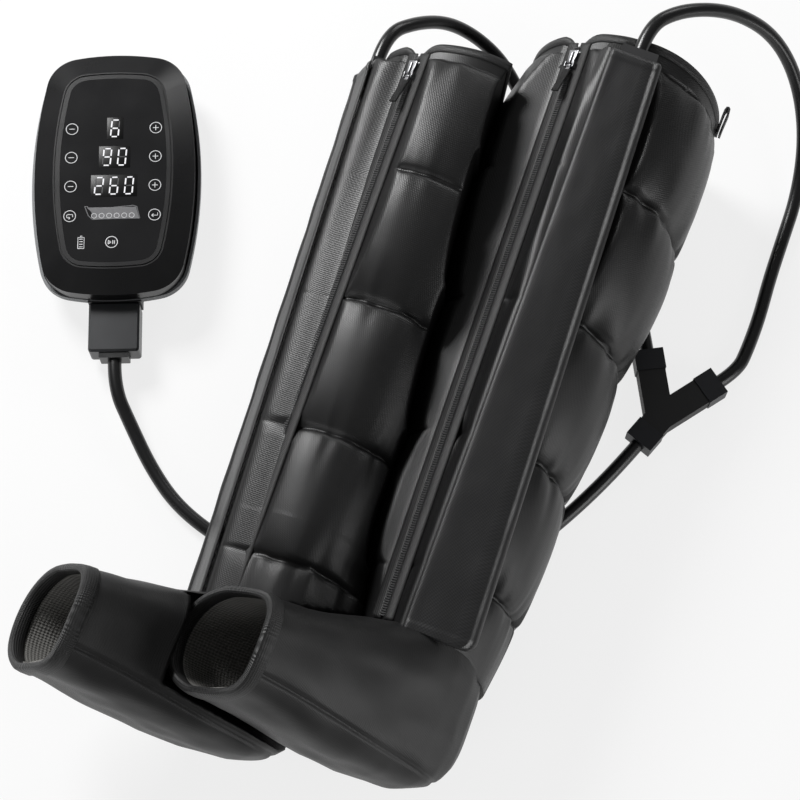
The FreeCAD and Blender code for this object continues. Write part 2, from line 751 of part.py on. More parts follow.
def rounded_path(route):
    """Straight runs joined by tangent arcs that take 0.45 of the shorter run each side of a point."""
    edges, start, radii = [], route[0], []
    for before, corner, after in zip(route, route[1:], route[2:]):
        back, ahead = before - corner, after - corner
        take = 0.45 * min(back.Length, ahead.Length)
        half_turn = (math.pi - back.getAngle(ahead)) / 2
        back.normalize()
        ahead.normalize()
        radius = take / math.tan(half_turn)
        inward = (back + ahead).normalize()
        centre = corner + inward * (radius / math.cos(half_turn))
        first, last, middle = corner + back * take, corner + ahead * take, centre - inward * radius
        edges.append(Part.LineSegment(start, first).toShape())
        edges.append(Part.Arc(first, middle, last).toShape())
        start = last
        radii.append(radius)
    edges.append(Part.LineSegment(start, route[-1]).toShape())
    return Part.Wire(edges), radii


def tube(route, radius):
    """A plain many-sided tube along a route; its flats lie where the round hose's wall is."""
    path, radii = rounded_path(route)
    sides = int(size("hose_sides"))
    corner = radius / math.cos(math.pi / sides)
    facing = Placement(route[0], Rotation(Z_AXIS, route[1] - route[0]))
    turns = [(n + 0.5) * 2 * math.pi / sides for n in range(sides)]
    ring = [facing.multVec(Vector(corner * math.cos(turn), corner * math.sin(turn), 0)) for turn in turns]
    solid = path.makePipeShell([Part.makePolygon(ring + ring[:1])], True, False)
    return solid, path, radii, sides * radius ** 2 * math.tan(math.pi / sides)


def make_hose(label, route):
    solid, path, radii, section = tube(route, size("hose_wide") / 2)
    expected = section * path.Length
    if abs(solid.Volume / expected - 1) > 0.005:
        raise RuntimeError(f"{label}: the tube's volume is off")
    print(label, "length", round(path.Length), "least radius", round(min(radii)), "lowest",
          round(solid.BoundBox.ZMin, 2))
    hose = doc.addObject("Part::Feature", label)
    hose.Shape = solid
    return finish(label, hose)


def split_exit(name, further=0):
    """Where a hose meets the outer face of an arm's sleeve, or a point further out on the same line."""
    long = size("trunk_long" if name == "trunk" else "arm_long")
    return SPLIT + SPLIT_ARMS[name].normalize() * (long + 2 * size("cap_proud") + further)


def plug_exit(further=0):
    reach = size("case_long") / 2 + size("fit_gap") + size("plug_long") + size("collar_long") + further
    return CASE.multVec(Vector(0, -reach, size("outlet_height")))


def points(*places):
    return [Vector(*place) for place in places]


MAIN_ROUTE = [plug_exit(), plug_exit(27)] + points(
    (101, -220, 13.5), (132, -250, 7.6), (168, -276, 7.1), (214, -292, 7.1), (266, -299, 7.1),
    (318, -298, 7.1), (372, -289, 7.1), (421, -268, 7.1), (462, -236, 7.1), (494, -196, 7.1),
    (519, -153, 7.5)) + [split_exit("trunk", 33), split_exit("trunk")]
LEFT_ROUTE = [split_exit("left"), split_exit("left", 24)] + points(
    (508, 63, 7.5), (482, 92, 7.1), (443, 130, 7.1), (400, 166, 7.1), (360, 202, 7.1), (331, 231, 14), (307, 247, 32),
    (279, 252, 54), (251, 246, 77), (228, 225, 100))
RIGHT_ROUTE = [split_exit("right"), split_exit("right", 23)] + points(
    (623, 52, 8.5), (624, 86, 7.1), (622, 126, 7.1), (622, 168, 7.1), (622, 213, 11.5), (614, 256, 29), (598, 288, 56),
    (575, 309, 88), (547, 317, 119), (515, 310, 147), (487, 294, 169), (460, 273, 183))


# ---------------------------------------------------------------- boots
SEAMS = ["foot", "ankle", "calf", "knee", "cuff"]
BOOTS = {
    "front": {"place": at(size("front_axis_x"), size("front_sole_y"), 0), "flap_angle": size("front_flap_angle"),
              "flap_side": 1, "loop_angle": 2},
    "rear": {"place": at(size("front_axis_x") - size("boot_spacing"), size("front_sole_y") + size("boot_shift"), 0),
             "flap_angle": size("rear_flap_angle"), "flap_side": -1, "loop_angle": 205},
}


def axis_height(along):
    """Height of the leg's middle line: each ring is sunk a little way into the floor."""
    known = [(size(f"{seam}_seam_at"), size(f"{seam}_seam_radius") - size("floor_flat")) for seam in SEAMS]
    if along <= known[0][0]:
        return known[0][1]
    for (s0, h0), (s1, h1) in zip(known, known[1:]):
        if along <= s1:
            return h0 + (h1 - h0) * (along - s0) / (s1 - s0)
    return known[-1][1]


def reach(name, along):
    """Place along a leg: the rear boot is pushed together a little towards its rim."""
    if name.startswith("front"):
        return along
    return size("rim_at") - (size("rim_at") - along) * size("rear_gather")


def leg_ring(name, along, radius, lift=0.0):
    """A many-sided ring across the leg, leaning so that its top lies nearer the thigh."""
    ring = doc.addObject("Part::RegularPolygon", name)
    ring.Polygon = int(size("ring_sides"))
    bind(ring, Circumradius=radius)
    s = work_out(along)
    ring.Placement = Placement(Vector(0, reach(name, s), axis_height(s) + lift),
                               Rotation(X_AXIS, -90 - size("ring_tilt")))
    return ring


def ruled_loft(name, sections):
    skin = doc.addObject("Part::Loft", name)
    skin.Sections = sections
    skin.Solid = True
    skin.Ruled = True
    return skin


def leg_outer(name, low, high):
    """One air chamber between two weld seams, swollen in the middle."""
    mean = f"({low}_seam_radius + {high}_seam_radius) / 2 + bulge"
    step = f"({high}_seam_at - {low}_seam_at)"
    return ruled_loft(name, [
        leg_ring(f"{name}_low", f"{low}_seam_at", f"{low}_seam_radius"),
        leg_ring(f"{name}_swell", f"{low}_seam_at + 0.3 * {step}", f"0.6 * ({mean}) + 0.4 * ({low}_seam_radius + bulge)"),
        leg_ring(f"{name}_crown", f"{low}_seam_at + 0.7 * {step}", f"0.6 * ({mean}) + 0.4 * ({high}_seam_radius + bulge)"),
        leg_ring(f"{name}_high", f"{high}_seam_at", f"{high}_seam_radius")])


def leg_bore(name, low, high):
    lift = size("floor_flat")
    return ruled_loft(name, [
        leg_ring(f"{name}_start", f"{low}_seam_at - bore_over", f"{low}_seam_radius - sleeve_wall", lift),
        leg_ring(f"{name}_stop", f"{high}_seam_at + bore_over", f"{high}_seam_radius - sleeve_wall", lift)])


def foot_place(name, along):
    """A plane across the foot: its x runs across the foot, its y along the leg, its z towards the toes."""
    rise = size("foot_lift" if name.startswith("front") else "rear_foot_lift")
    frame = Placement(Vector(0, reach(name, 0), size("foot_seam_radius") - size("floor_flat")),
                      Rotation(Y_AXIS, rise - 90))
    return frame.multiply(at(0, 0, along))


def foot_section(name, along, wide, low, high, corner):
    section = doc.addObject("Sketcher::SketchObject", name)
    round_box(section, wide, f"{high} - ({low})", corner, "0", f"({high} + ({low})) / 2")
    section.Placement = foot_place(name, work_out(along))
    return section


def toe_section(name, along, wide, low, high, corner):
    """A section at the open end, leaning forward at its top about its middle height."""
    section = doc.addObject("Sketcher::SketchObject", name)
    round_box(section, wide, f"({high} - ({low})) / cos(toe_slant)", corner, "0", "0")
    lean = Placement(Vector(0, work_out(f"({high} + ({low})) / 2"), 0), Rotation(X_AXIS, size("toe_slant")))
    section.Placement = foot_place(name, work_out(along)).multiply(lean)
    return section


def heel_skin(name):
    return ruled_loft(name, [
        foot_section(f"{name}_back", "-heel_back", "foot_wide - 54", "28", "instep_height", "foot_corner - 10"),
        foot_section(f"{name}_round", "-heel_back + 20", "foot_wide - 18", "6", "instep_height + 18", "foot_corner"),
        foot_section(f"{name}_middle", "0", "foot_wide", "0", "instep_height + 20", "foot_corner"),
        foot_section(f"{name}_front", "foot_split", "foot_wide", "-5", "instep_height", "foot_corner")])


def toe_skin(name):
    return ruled_loft(name, [
        foot_section(f"{name}_back", "foot_split", "foot_wide", "-5", "instep_height", "foot_corner"),
        toe_section(f"{name}_front", "toe_end - binding_long", "foot_wide", "-4", "toe_height - 4", "foot_corner")])


def toe_band(name):
    return ruled_loft(name, [
        toe_section(f"{name}_back", "toe_end - binding_long", "foot_wide + 2", "-5", "toe_height - 3", "foot_corner"),
        toe_section(f"{name}_front", "toe_end", "foot_wide + 2", "-5", "toe_height - 3", "foot_corner")])


def foot_bore(name):
    return ruled_loft(name, [
        foot_section(f"{name}_heel", "-heel_back + 24", "foot_wide - 54", "30", "instep_height - 8", "foot_corner - 14"),
        foot_section(f"{name}_middle", "0", "foot_wide - 38", "20", "instep_height", "foot_corner - 8"),
        foot_section(f"{name}_arch", "foot_split", "foot_wide - 34", "13", "instep_height - 18", "foot_corner - 8"),
        toe_section(f"{name}_toe", "toe_end + 1", "foot_wide - 2 * toe_wall", "toe_wall - 4",
                    "toe_height - toe_wall - 4", "foot_corner - toe_wall")])


def press_tool(name, grow):
    """The space that the front boot takes, in the rear boot's own frame: the rear boot is pressed in by it."""
    thigh, ankle = size("rim_at") + 40, size("foot_seam_at") - 40
    slope = math.degrees(math.atan2(30, 590))
    leg = primitive("Cone", f"{name}_leg", None, Radius1=f"foot_seam_radius + bulge + {grow}",
                    Radius2=f"knee_seam_radius + 2 * bulge + 4 + {grow}", Height=thigh - ankle)
    shift = Vector(size("boot_spacing"), -size("boot_shift"), 0)
    leg.Placement = Placement(shift + Vector(0, ankle, size("foot_seam_radius") - size("floor_flat") - 2),
                              Rotation(X_AXIS, -90 + slope))
    foot = doc.addObject("Part::Loft", f"{name}_foot")
    ends = []
    for end, along, high in (("heel", -50, size("instep_height") + 34), ("toe", 218, size("toe_height"))):
        section = foot_section(f"front_{end}_in_{name}", str(along), f"foot_wide + 2 * {grow}", f"-6 - {grow}",
                               f"{high} + {grow}", "foot_corner")
        section.Placement = at(shift.x, shift.y, 0).multiply(section.Placement)
        ends.append(section)
    foot.Sections = ends
    foot.Solid = True
    foot.Ruled = True
    return fuse(name, [leg, foot])


def outward(angle):
    return Vector(math.cos(math.radians(angle)), 0, math.sin(math.radians(angle)))


def strip_frame(side, low_angle, high_angle, low_radius, high_radius, offset=0.0):
    """A straight strip up the leg: y runs from ankle to thigh, z stands off the leg, x runs to the right."""
    out = outward((low_angle + high_angle) / 2)
    low, high = size("strip_low_at"), size("strip_high_at")
    start = Vector(0, reach(side, low), axis_height(low)) + outward(low_angle) * size(low_radius)
    stop = Vector(0, reach(side, high), axis_height(high)) + outward(high_angle) * size(high_radius)
    y = (stop - start).normalize()
    z = (out - y * out.dot(y)).normalize()
    x = y.cross(z)
    return Placement(start + x * offset, Rotation(x, y, z, "ZXY")), (stop - start).Length


def zip_frame(side):
    return strip_frame(side, size("zip_low_angle"), size("zip_high_angle"), "zip_low_radius", "zip_high_radius")


def tube_frame(side, boot):
    return strip_frame(side, boot["flap_angle"], boot["flap_angle"], "tube_low_radius", "tube_high_radius")


def flap_frame(side, boot):
    place, long = strip_frame(side, boot["flap_angle"], boot["flap_angle"], "flap_low_radius", "flap_high_radius",
                              -boot["flap_side"] * size("flap_offset"))
    return place.multiply(at(0, -size("flap_drop"), 0)), long


def above(name, frame, wide, middle, drop=0.0):
    """Everything that stands above a strip's plane, as a block to cut a chamber flat with."""
    place, long = frame
    return box(name, wide, long + 90, 70, place.multiply(at(middle, long / 2 + 35, -drop)))


def flats(side, boot, number):
    """The blocks that make room on a chamber for the zip, the air tubes, the flap and the floor."""
    margin = 3
    cuts = [above(f"{side}_zip_flat_{number}", zip_frame(side), size("zip_tape") + 2 * margin, 0),
            above(f"{side}_tube_flat_{number}", tube_frame(side, boot), size("tube_bed_wide"), 0),
            above(f"{side}_flap_flat_{number}", flap_frame(side, boot), size("flap_bottom") + 2 * margin,
                  boot["flap_side"] * size("flap_bottom") / 2, size("fit_gap")),
            box(f"{side}_floor_{number}", 900, 1800, 100, at(0, 300, -100))]
    return cuts


def hose_channel(name, side, route):
    """A groove that a hose presses into the soft underside of the boot lying on it."""
    origin = BOOTS[side]["place"].Base
    channel = doc.addObject("Part::Feature", name)
    channel.Shape = tube([point - origin for point in route], size("hose_wide") / 2 + size("channel_gap"))[0]
    return channel


def shaped(side, boot, label, outer, bore, extra=()):
    """Hollow a skin out and cut it to fit its neighbours."""
    if side == "rear":
        bore = cut(f"{label}_bore_pressed", bore, press_tool(f"{label}_press_in", "press_gap + 12"))
        extra = list(extra) + [press_tool(f"{label}_press", "press_gap")]
    hollow = cut(f"{label}_hollow", outer, bore)
    tools = flats(side, boot, label) + list(extra)
    return finish(label, cut(label, hollow, fuse(f"{label}_cuts", tools)), boot["place"])


def make_chambers(side, boot):
    names = ["ankle", "calf", "knee", "thigh"]
    for name, low, high in zip(names, SEAMS, SEAMS[1:]):
        label = f"{side}_{name}_chamber"
        extra = []
        if name == "ankle":
            extra.append(hose_channel(f"{label}_channel", side, MAIN_ROUTE[3:12]))
        if name == "thigh" and side == "front":
            extra.append(hose_channel(f"{label}_channel", side, LEFT_ROUTE[2:8]))
        shaped(side, boot, label, leg_outer(f"{label}_skin", low, high), leg_bore(f"{label}_bore", low, high), extra)
    label = f"{side}_heel_chamber"
    stub = ruled_loft(f"{label}_stub", [leg_ring(f"{label}_stub_low", "48", "foot_seam_radius - 8"),
                                        leg_ring(f"{label}_stub_high", "foot_seam_at", "foot_seam_radius")])
    lift = size("floor_flat")
    well = ruled_loft(f"{label}_well", [
        leg_ring(f"{label}_well_low", "60", "foot_seam_radius - sleeve_wall", lift),
        leg_ring(f"{label}_well_high", "foot_seam_at + bore_over", "foot_seam_radius - sleeve_wall", lift)])
    past = box(f"{label}_past", 400, 400, 400, foot_place(label, size("foot_split")))
    shaped(side, boot, label, fuse(f"{label}_skin", [stub, heel_skin(f"{label}_foot")]),
           fuse(f"{label}_inside", [well, foot_bore(f"{label}_bore")]), [past])
    label = f"{side}_toe_chamber"
    corner = [box(f"{label}_corner", 20, 16, 24, at(-39, 146, 119))] if side == "rear" else []
    shaped(side, boot, label, toe_skin(f"{label}_skin"), foot_bore(f"{label}_bore"), corner)


def make_bindings(side, boot):
    label = f"{side}_top_cuff"
    outer = ruled_loft(f"{label}_skin", [leg_ring(f"{label}_low", "cuff_seam_at", "cuff_seam_radius"),
                                         leg_ring(f"{label}_high", "rim_at", "cuff_seam_radius")])
    inner = ruled_loft(f"{label}_bore", [
        leg_ring(f"{label}_start", "cuff_seam_at - bore_over", "cuff_seam_radius - cuff_wall"),
        leg_ring(f"{label}_stop", "rim_at + bore_over", "cuff_seam_radius - cuff_wall")])
    if side == "rear":
        inner = cut(f"{label}_bore_pressed", inner, press_tool(f"{label}_press_in", "press_gap + cuff_wall"))
        outer = cut(f"{label}_skin_pressed", outer, press_tool(f"{label}_press", "press_gap"))
    tools = fuse(f"{label}_cuts", flats(side, boot, label))
    finish(label, cut(label, cut(f"{label}_hollow", outer, inner), tools), boot["place"])
    label = f"{side}_toe_binding"
    ring = toe_band(f"{label}_skin")
    finish(label, cut(label, ring, foot_bore(f"{label}_bore")), boot["place"])


def make_zip(side, boot):
    place, long = zip_frame(side)
    world = boot["place"].multiply(place)
    tape = box(f"{side}_zip_tape", "zip_tape", long, "zip_tape_thick", at(0, long / 2, 0))
    teeth = box(f"{side}_zip_teeth", "zip_teeth", long - 4, "zip_teeth_high", at(0, long / 2, 0))
    finish(f"{side}_zipper", fuse(f"{side}_zipper", [tape, teeth]), world)

    lift = size("zip_tape_thick") + size("fit_gap")
    height = size("slider_high")
    middle = long - 16
    block = box(f"{side}_slider_block", "slider_wide", "slider_long", height - lift, at(0, 0, lift))
    channel = box(f"{side}_slider_channel", "zip_teeth + 2 * fit_gap", "slider_long + 2",
                  size("zip_teeth_high") + size("fit_gap"), at(0, 0, 0))
    pivot_y, pivot_z = -size("slider_long") / 2 - 2.2, 4.4
    ears = [box(f"{side}_slider_ear_{n}", "1.4", "6", "3.4",
                at(x * (size("slider_wide") / 2 - 0.7), pivot_y + 1.5, pivot_z - 1.7)) for n, x in enumerate((-1, 1))]
    pin = rod(f"{side}_slider_pin", "0.8", "slider_wide - 1", at(-size("slider_wide") / 2 + 0.5, pivot_y, pivot_z, Y_AXIS, 90))
    here = world.multiply(at(0, middle, 0))
    slider = fuse(f"{side}_zip_slider", [cut(f"{side}_slider_body", block, channel)] + ears + [pin])
    finish(f"{side}_zip_slider", slider, here)

    barrel_wide = size("slider_wide") - 2 * 1.4 - 0.6
    eye = rod(f"{side}_pull_eye", "1.7", barrel_wide, at(-barrel_wide / 2, pivot_y, pivot_z, Y_AXIS, 90))
    tab = box(f"{side}_pull_tab", "pull_wide", "pull_long - 3", "pull_thick",
              at(0, pivot_y - 3 - (size("pull_long") - 3) / 2, pivot_z - size("pull_thick") / 2))
    neck = box(f"{side}_pull_neck", barrel_wide - 1, 4, "pull_thick",
               at(0, pivot_y - 2, pivot_z - size("pull_thick") / 2))
    hole = rod(f"{side}_pull_hole", "0.85", 20, at(-10, pivot_y, pivot_z, Y_AXIS, 90))
    hang = at(0, pivot_y, pivot_z, X_AXIS, -size("pull_lift")).multiply(at(0, -pivot_y, -pivot_z))
    pull = cut(f"{side}_zip_pull", fuse(f"{side}_pull_shape", [eye, tab, neck]), hole)
    finish(f"{side}_zip_pull", pull, here.multiply(hang))
    pivot = here.multVec(Vector(0, pivot_y, pivot_z))
    report(side, "zip pull pivot", pivot)
    report(side, "zip x", here.Rotation.multVec(X_AXIS), 5)
    report(side, "zip y", here.Rotation.multVec(Y_AXIS), 5)
    print(side, "zip length", round(long, 1))


def report(side, what, vector, digits=2):
    print(side, what, [round(value, digits) for value in vector])


def make_tubes(side, boot):
    """The branch hose's air goes through a manifold into one small tube for each chamber."""
    place, long = tube_frame(side, boot)
    world = boot["place"].multiply(place)
    manifold = box(f"{side}_manifold_block", "manifold_wide", "manifold_long", "manifold_high",
                   at(0, long - size("manifold_long") / 2, 0))
    finish(f"{side}_manifold", manifold, world.multiply(manifold.Placement))
    stops = [stop * long / 560 for stop in (6, 40, 100, 226, 356, 486)]
    radius = size("tube_wide") / 2
    tubes = [prism(f"{side}_air_tube_{n}", "tube_wide / 2", long - size("manifold_long") - stop,
                 at((n - 2.5) * size("tube_pitch") * 0.88, stop, radius + 0.1, X_AXIS, -90))
             for n, stop in enumerate(stops)]
    finish(f"{side}_air_tubes", group(f"{side}_air_tubes", tubes), world)
    return world.multVec(Vector(0, long, size("manifold_high") / 2)), world.Rotation.multVec(Y_AXIS)


def make_flap(side, boot):
    """The long cover over the air tubes, sewn down along the edge next to the zip."""
    place, long = flap_frame(side, boot)
    hand = boot["flap_side"]
    body = new_body(f"{side}_hose_flap")
    outline = sketch_on(body, f"{side}_flap_outline")
    wide, narrow = size("flap_bottom") * hand, size("flap_top") * hand
    corners = [Vector(0, 0, 0), Vector(wide, 0, 0), Vector(narrow, long - 2, 0), Vector(0, long - 2, 0)]
    for first, second in zip(corners, corners[1:] + corners[:1]):
        outline.addGeometry(Part.LineSegment(first, second), False)
    for index in range(4):
        outline.addConstraint(Sketcher.Constraint("Coincident", index, 2, (index + 1) % 4, 1))
    outline.addConstraint(Sketcher.Constraint("Horizontal", 0))
    outline.addConstraint(Sketcher.Constraint("Horizontal", 2))
    outline.addConstraint(Sketcher.Constraint("Vertical", 3))
    outline.addConstraint(Sketcher.Constraint("Coincident", 0, 1, -1, 1))
    constrain(outline, "bottom", "flap_bottom", "DistanceX", *((0, 1, 0, 2) if hand > 0 else (0, 2, 0, 1)),
              abs(wide))
    constrain(outline, "top", "flap_top", "DistanceX", *((2, 2, 2, 1) if hand > 0 else (2, 1, 2, 2)), abs(narrow))
    pad(body, outline, "flap_thick")
    fold = rod(f"{side}_flap_fold", "flap_thick / 2", long - 2, at(0, 0, size("flap_thick") / 2, X_AXIS, -90))
    world = boot["place"].multiply(place)
    finish(f"{side}_hose_flap", fuse(f"{side}_hose_flap", [body, fold]), world)
    report(side, "flap hinge", world.multVec(Vector(0, 0, size("flap_thick") / 2)))
    report(side, "flap hinge way", world.Rotation.multVec(Y_AXIS), 5)


def make_loop(side, boot):
    """A doubled webbing tab on the rim to hang the boot up by."""
    turn = math.radians(boot["loop_angle"])
    z = Vector(math.cos(turn), 0, math.sin(turn))
    seat = Placement(Vector(0, size("rim_at"), axis_height(size("rim_at"))) + z * size("cuff_seam_radius"),
                     Rotation(Y_AXIS.cross(z), Y_AXIS, z, "ZXY"))
    band = box(f"{side}_loop_band", "loop_wide", "loop_long", "loop_thick", at(0, 0, 0))
    eye = box(f"{side}_loop_eye", "loop_wide + 2", "loop_long - 8", "loop_thick / 3", at(0, 0, size("loop_thick") / 3))
    finish(f"{side}_hang_loop", cut(f"{side}_hang_loop", band, eye), boot["place"].multiply(seat))


make_plug()
make_splitter()
make_hose("main_hose", MAIN_ROUTE)
for side, boot in BOOTS.items():
    make_chambers(side, boot)
    make_bindings(side, boot)
    make_zip(side, boot)
    exit_point, exit_way = make_tubes(side, boot)
    make_flap(side, boot)
    make_loop(side, boot)
    if side == "front":
        make_hose("right_branch_hose", RIGHT_ROUTE + [exit_point + exit_way * 26, exit_point])
    else:
        make_hose("left_branch_hose", LEFT_ROUTE + [exit_point + exit_way * 32, exit_point])
    report(side, "branch hose exit", exit_point)


# ---------------------------------------------------------------- checks and files
doc.recompute()
for thing in doc.Objects:
    if {"Invalid", "Error"} & set(thing.State):
        raise RuntimeError(f"{thing.Name}: {thing.State}")
os.makedirs("parts", exist_ok=True)
for label, thing in subparts.items():
    if thing.Shape.isNull() or not thing.Shape.isValid():
        raise RuntimeError(f"{label} has no sound shape")
    thing.Shape.exportStep(f"parts/{label}.step")
print(len(subparts), "sub-parts written")
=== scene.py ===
import math

import bmesh
import bpy
from mathutils import Matrix, Vector, noise


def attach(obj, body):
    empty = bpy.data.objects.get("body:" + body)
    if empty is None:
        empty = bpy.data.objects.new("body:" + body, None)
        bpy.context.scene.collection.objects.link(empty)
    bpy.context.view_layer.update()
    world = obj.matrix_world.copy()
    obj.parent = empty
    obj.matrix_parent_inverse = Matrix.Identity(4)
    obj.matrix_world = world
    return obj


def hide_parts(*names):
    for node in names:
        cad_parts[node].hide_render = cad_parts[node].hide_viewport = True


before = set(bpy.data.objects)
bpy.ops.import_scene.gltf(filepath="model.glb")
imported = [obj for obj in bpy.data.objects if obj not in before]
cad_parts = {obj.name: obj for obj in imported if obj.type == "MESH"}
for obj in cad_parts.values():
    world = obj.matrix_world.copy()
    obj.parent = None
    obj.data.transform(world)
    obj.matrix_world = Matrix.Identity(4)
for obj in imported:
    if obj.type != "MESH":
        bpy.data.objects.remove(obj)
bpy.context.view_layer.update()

# ---------------------------------------------------------------- sizes, in metres
CASE_TURN = math.radians(21)
LID_TOP = 0.062
HOSE = 0.013
ROOT = "boots_and_hoses"
BOOTS = {"front": Vector((0.436, -0.455, 0)), "rear": Vector((0.301, -0.515, 0))}
FLAPS = {"front": (87, 1), "rear": (163, -1)}
GIRTH = ((0.060, 0.050), (0.100, 0.057), (0.165, 0.066), (0.288, 0.070), (0.414, 0.079), (0.538, 0.092),
         (0.659, 0.092))
WELDS = (0.060, 0.165, 0.288, 0.414, 0.538, 0.659)
RIM = 0.681
SUNK = 0.004
FOOT_LIFT = {"front": math.radians(40), "rear": math.radians(31)}
TOE_END = {"front": 0.208, "rear": 0.201}
REAR_GATHER = 0.95
FOOT_LOW = 0.062
STRIP = (0.122, 0.678)
ZIP = (132, 124, 0.064, 0.0905)
BED = (0.066, 0.090)
FLAP = (0.0725, 0.105)
FLAP_OFFSET = 0.024
FLAP_DROP = 0.008
RAKE = math.tan(math.radians(8))       # every ring of the leg leans back by this much
TOOTH_PITCH = 0.0022
PIN = (0, -0.0092, 0.0044)             # the pull's pin, from the middle of the slider
PULL_LIFT = math.radians(15)
KEY_RING = 0.0056
KEY_ARM = 0.0027
SIGN_LINE = 0.00075
DIGIT_PITCH = 0.0142
DIGIT_SHIFT = 0.0012


def clear():
    bpy.ops.object.select_all(action="DESELECT")


def mix(a, b, t):
    return a + (b - a) * t


def ease(a, b, x):
    t = min(1, max(0, (x - a) / (b - a)))
    return t * t * (3 - 2 * t)


# ---------------------------------------------------------------- camera, lamps and floor
def make_camera():
    data = bpy.data.cameras.new("camera")
    data.sensor_width = 36
    data.lens = 97.83
    data.clip_start, data.clip_end = 0.05, 20
    camera = bpy.data.objects.new("camera", data)
    bpy.context.scene.collection.objects.link(camera)
    turn, rise = math.radians(19.8), math.radians(72)
    back = Vector((math.sin(turn) * math.cos(rise), -math.cos(turn) * math.cos(rise), math.sin(rise)))
    camera.location = Vector((0.3346, -0.1243, 0.0572)) + back * 2.0
    camera.rotation_mode = "QUATERNION"
    camera.rotation_quaternion = (-back).to_track_quat("-Z", "Y")
    bpy.context.scene.camera = camera


def make_lamp(name, place, aim, wide, long, power):
    data = bpy.data.lights.new(name, "AREA")
    data.shape = "RECTANGLE"
    data.size, data.size_y = wide, long
    data.energy = power
    lamp = bpy.data.objects.new(name, data)
    lamp.location = place
    lamp.rotation_mode = "QUATERNION"
    lamp.rotation_quaternion = (Vector(aim) - Vector(place)).to_track_quat("-Z", "Y")
    bpy.context.scene.collection.objects.link(lamp)


make_camera()
bpy.context.scene.view_settings.view_transform = "Standard"
make_lamp("window_lamp", (-1.45, 1.00, 1.75), (0.30, -0.1, 0.08), 0.9, 0.9, 86)
make_lamp("top_lamp", (0.5, 2.1, 1.2), (0.3, 0.0, 0.05), 1.4, 0.5, 10)
make_lamp("side_lamp", (2.2, -0.5, 0.7), (0.5, -0.1, 0.05), 0.5, 1.4, 10)
make_lamp("front_lamp", (-0.3, -1.9, 1.0), (0.25, -0.3, 0.05), 1.2, 0.4, 6)


# ---------------------------------------------------------------- finishes
class Socket:
    """One output of a node; an operator used on it adds the Math node that works it out."""

    def __init__(self, finish, output):
        self.finish, self.output = finish, output

    def worked(self, operation, *others):
        return self.finish.node("ShaderNodeMath", dict(enumerate((self, *others))), operation=operation)

    def __add__(self, other):
        return self.worked("ADD", other)

    def __mul__(self, other):
        return self.worked("MULTIPLY", other)

    def __sub__(self, other):
        return self.worked("SUBTRACT", other)

    def __rsub__(self, other):
        return self.finish.node("ShaderNodeMath", {0: other, 1: self}, operation="SUBTRACT")

    __radd__ = __add__
    __rmul__ = __mul__


class Finish:
    """A material being put together from nodes."""

    def __init__(self, name):
        self.material = bpy.data.materials.new(name)
        self.material.use_nodes = True
        self.tree = self.material.node_tree
        self.tree.nodes.clear()

    def node(self, kind, inputs=None, output=0, **settings):
        made = self.tree.nodes.new(kind)
        for name, value in settings.items():
            setattr(made, name, value)
        for name, value in (inputs or {}).items():
            if isinstance(value, Socket):
                self.tree.links.new(value.output, made.inputs[name])
            else:
                made.inputs[name].default_value = value
        return Socket(self, made.outputs[output])

    def place(self, kind="Object", scale=(1, 1, 1)):
        where = self.node("ShaderNodeTexCoord", output=kind)
        return self.node("ShaderNodeMapping", {"Vector": where, "Scale": scale})

    def split(self, vector):
        parts = self.node("ShaderNodeSeparateXYZ", {0: vector}).output.node
        return [Socket(self, parts.outputs[n]) for n in range(3)]

    def speckle(self, where, scale, detail=2.0, rough=0.5):
        return self.node("ShaderNodeTexNoise",
                         {"Vector": where, "Scale": scale, "Detail": detail, "Roughness": rough})

    def shade(self, dark, light, amount):
        return self.node("ShaderNodeMix", {"Factor": amount, 6: (*dark, 1), 7: (*light, 1)}, output=2,
                         data_type="RGBA")

    def bump(self, height, depth):
        return self.node("ShaderNodeBump", {"Height": height, "Distance": depth, "Strength": 1.0})

    def done(self, **inputs):
        words = {name.replace("_", " "): value for name, value in inputs.items()}
        surface = self.node("ShaderNodeBsdfPrincipled", words)
        self.node_out(surface)
        return self.material

    def node_out(self, surface):
        out = self.tree.nodes.new("ShaderNodeOutputMaterial")
        self.tree.links.new(surface.output, out.inputs["Surface"])


def plastic(name, colour, rough, grain=0.00008, grain_scale=1500, spread=0.25, **more):
    """Moulded plastic or rubber: a fine spark-eroded grain, and wear that shifts the gloss a little."""
    finish = Finish(name)
    where = finish.place()
    fine = finish.speckle(where, grain_scale, 3)
    broad = finish.speckle(where, 22, 4)
    lighter = [min(1, c * (1 + spread)) for c in colour]
    darker = [c * (1 - spread) for c in colour]
    return finish.done(
        Base_Color=finish.shade(darker, lighter, broad), Roughness=rough + (broad - 0.5) * 0.12 + (fine - 0.5) * 0.1,
        Normal=finish.bump(fine, grain), **more)


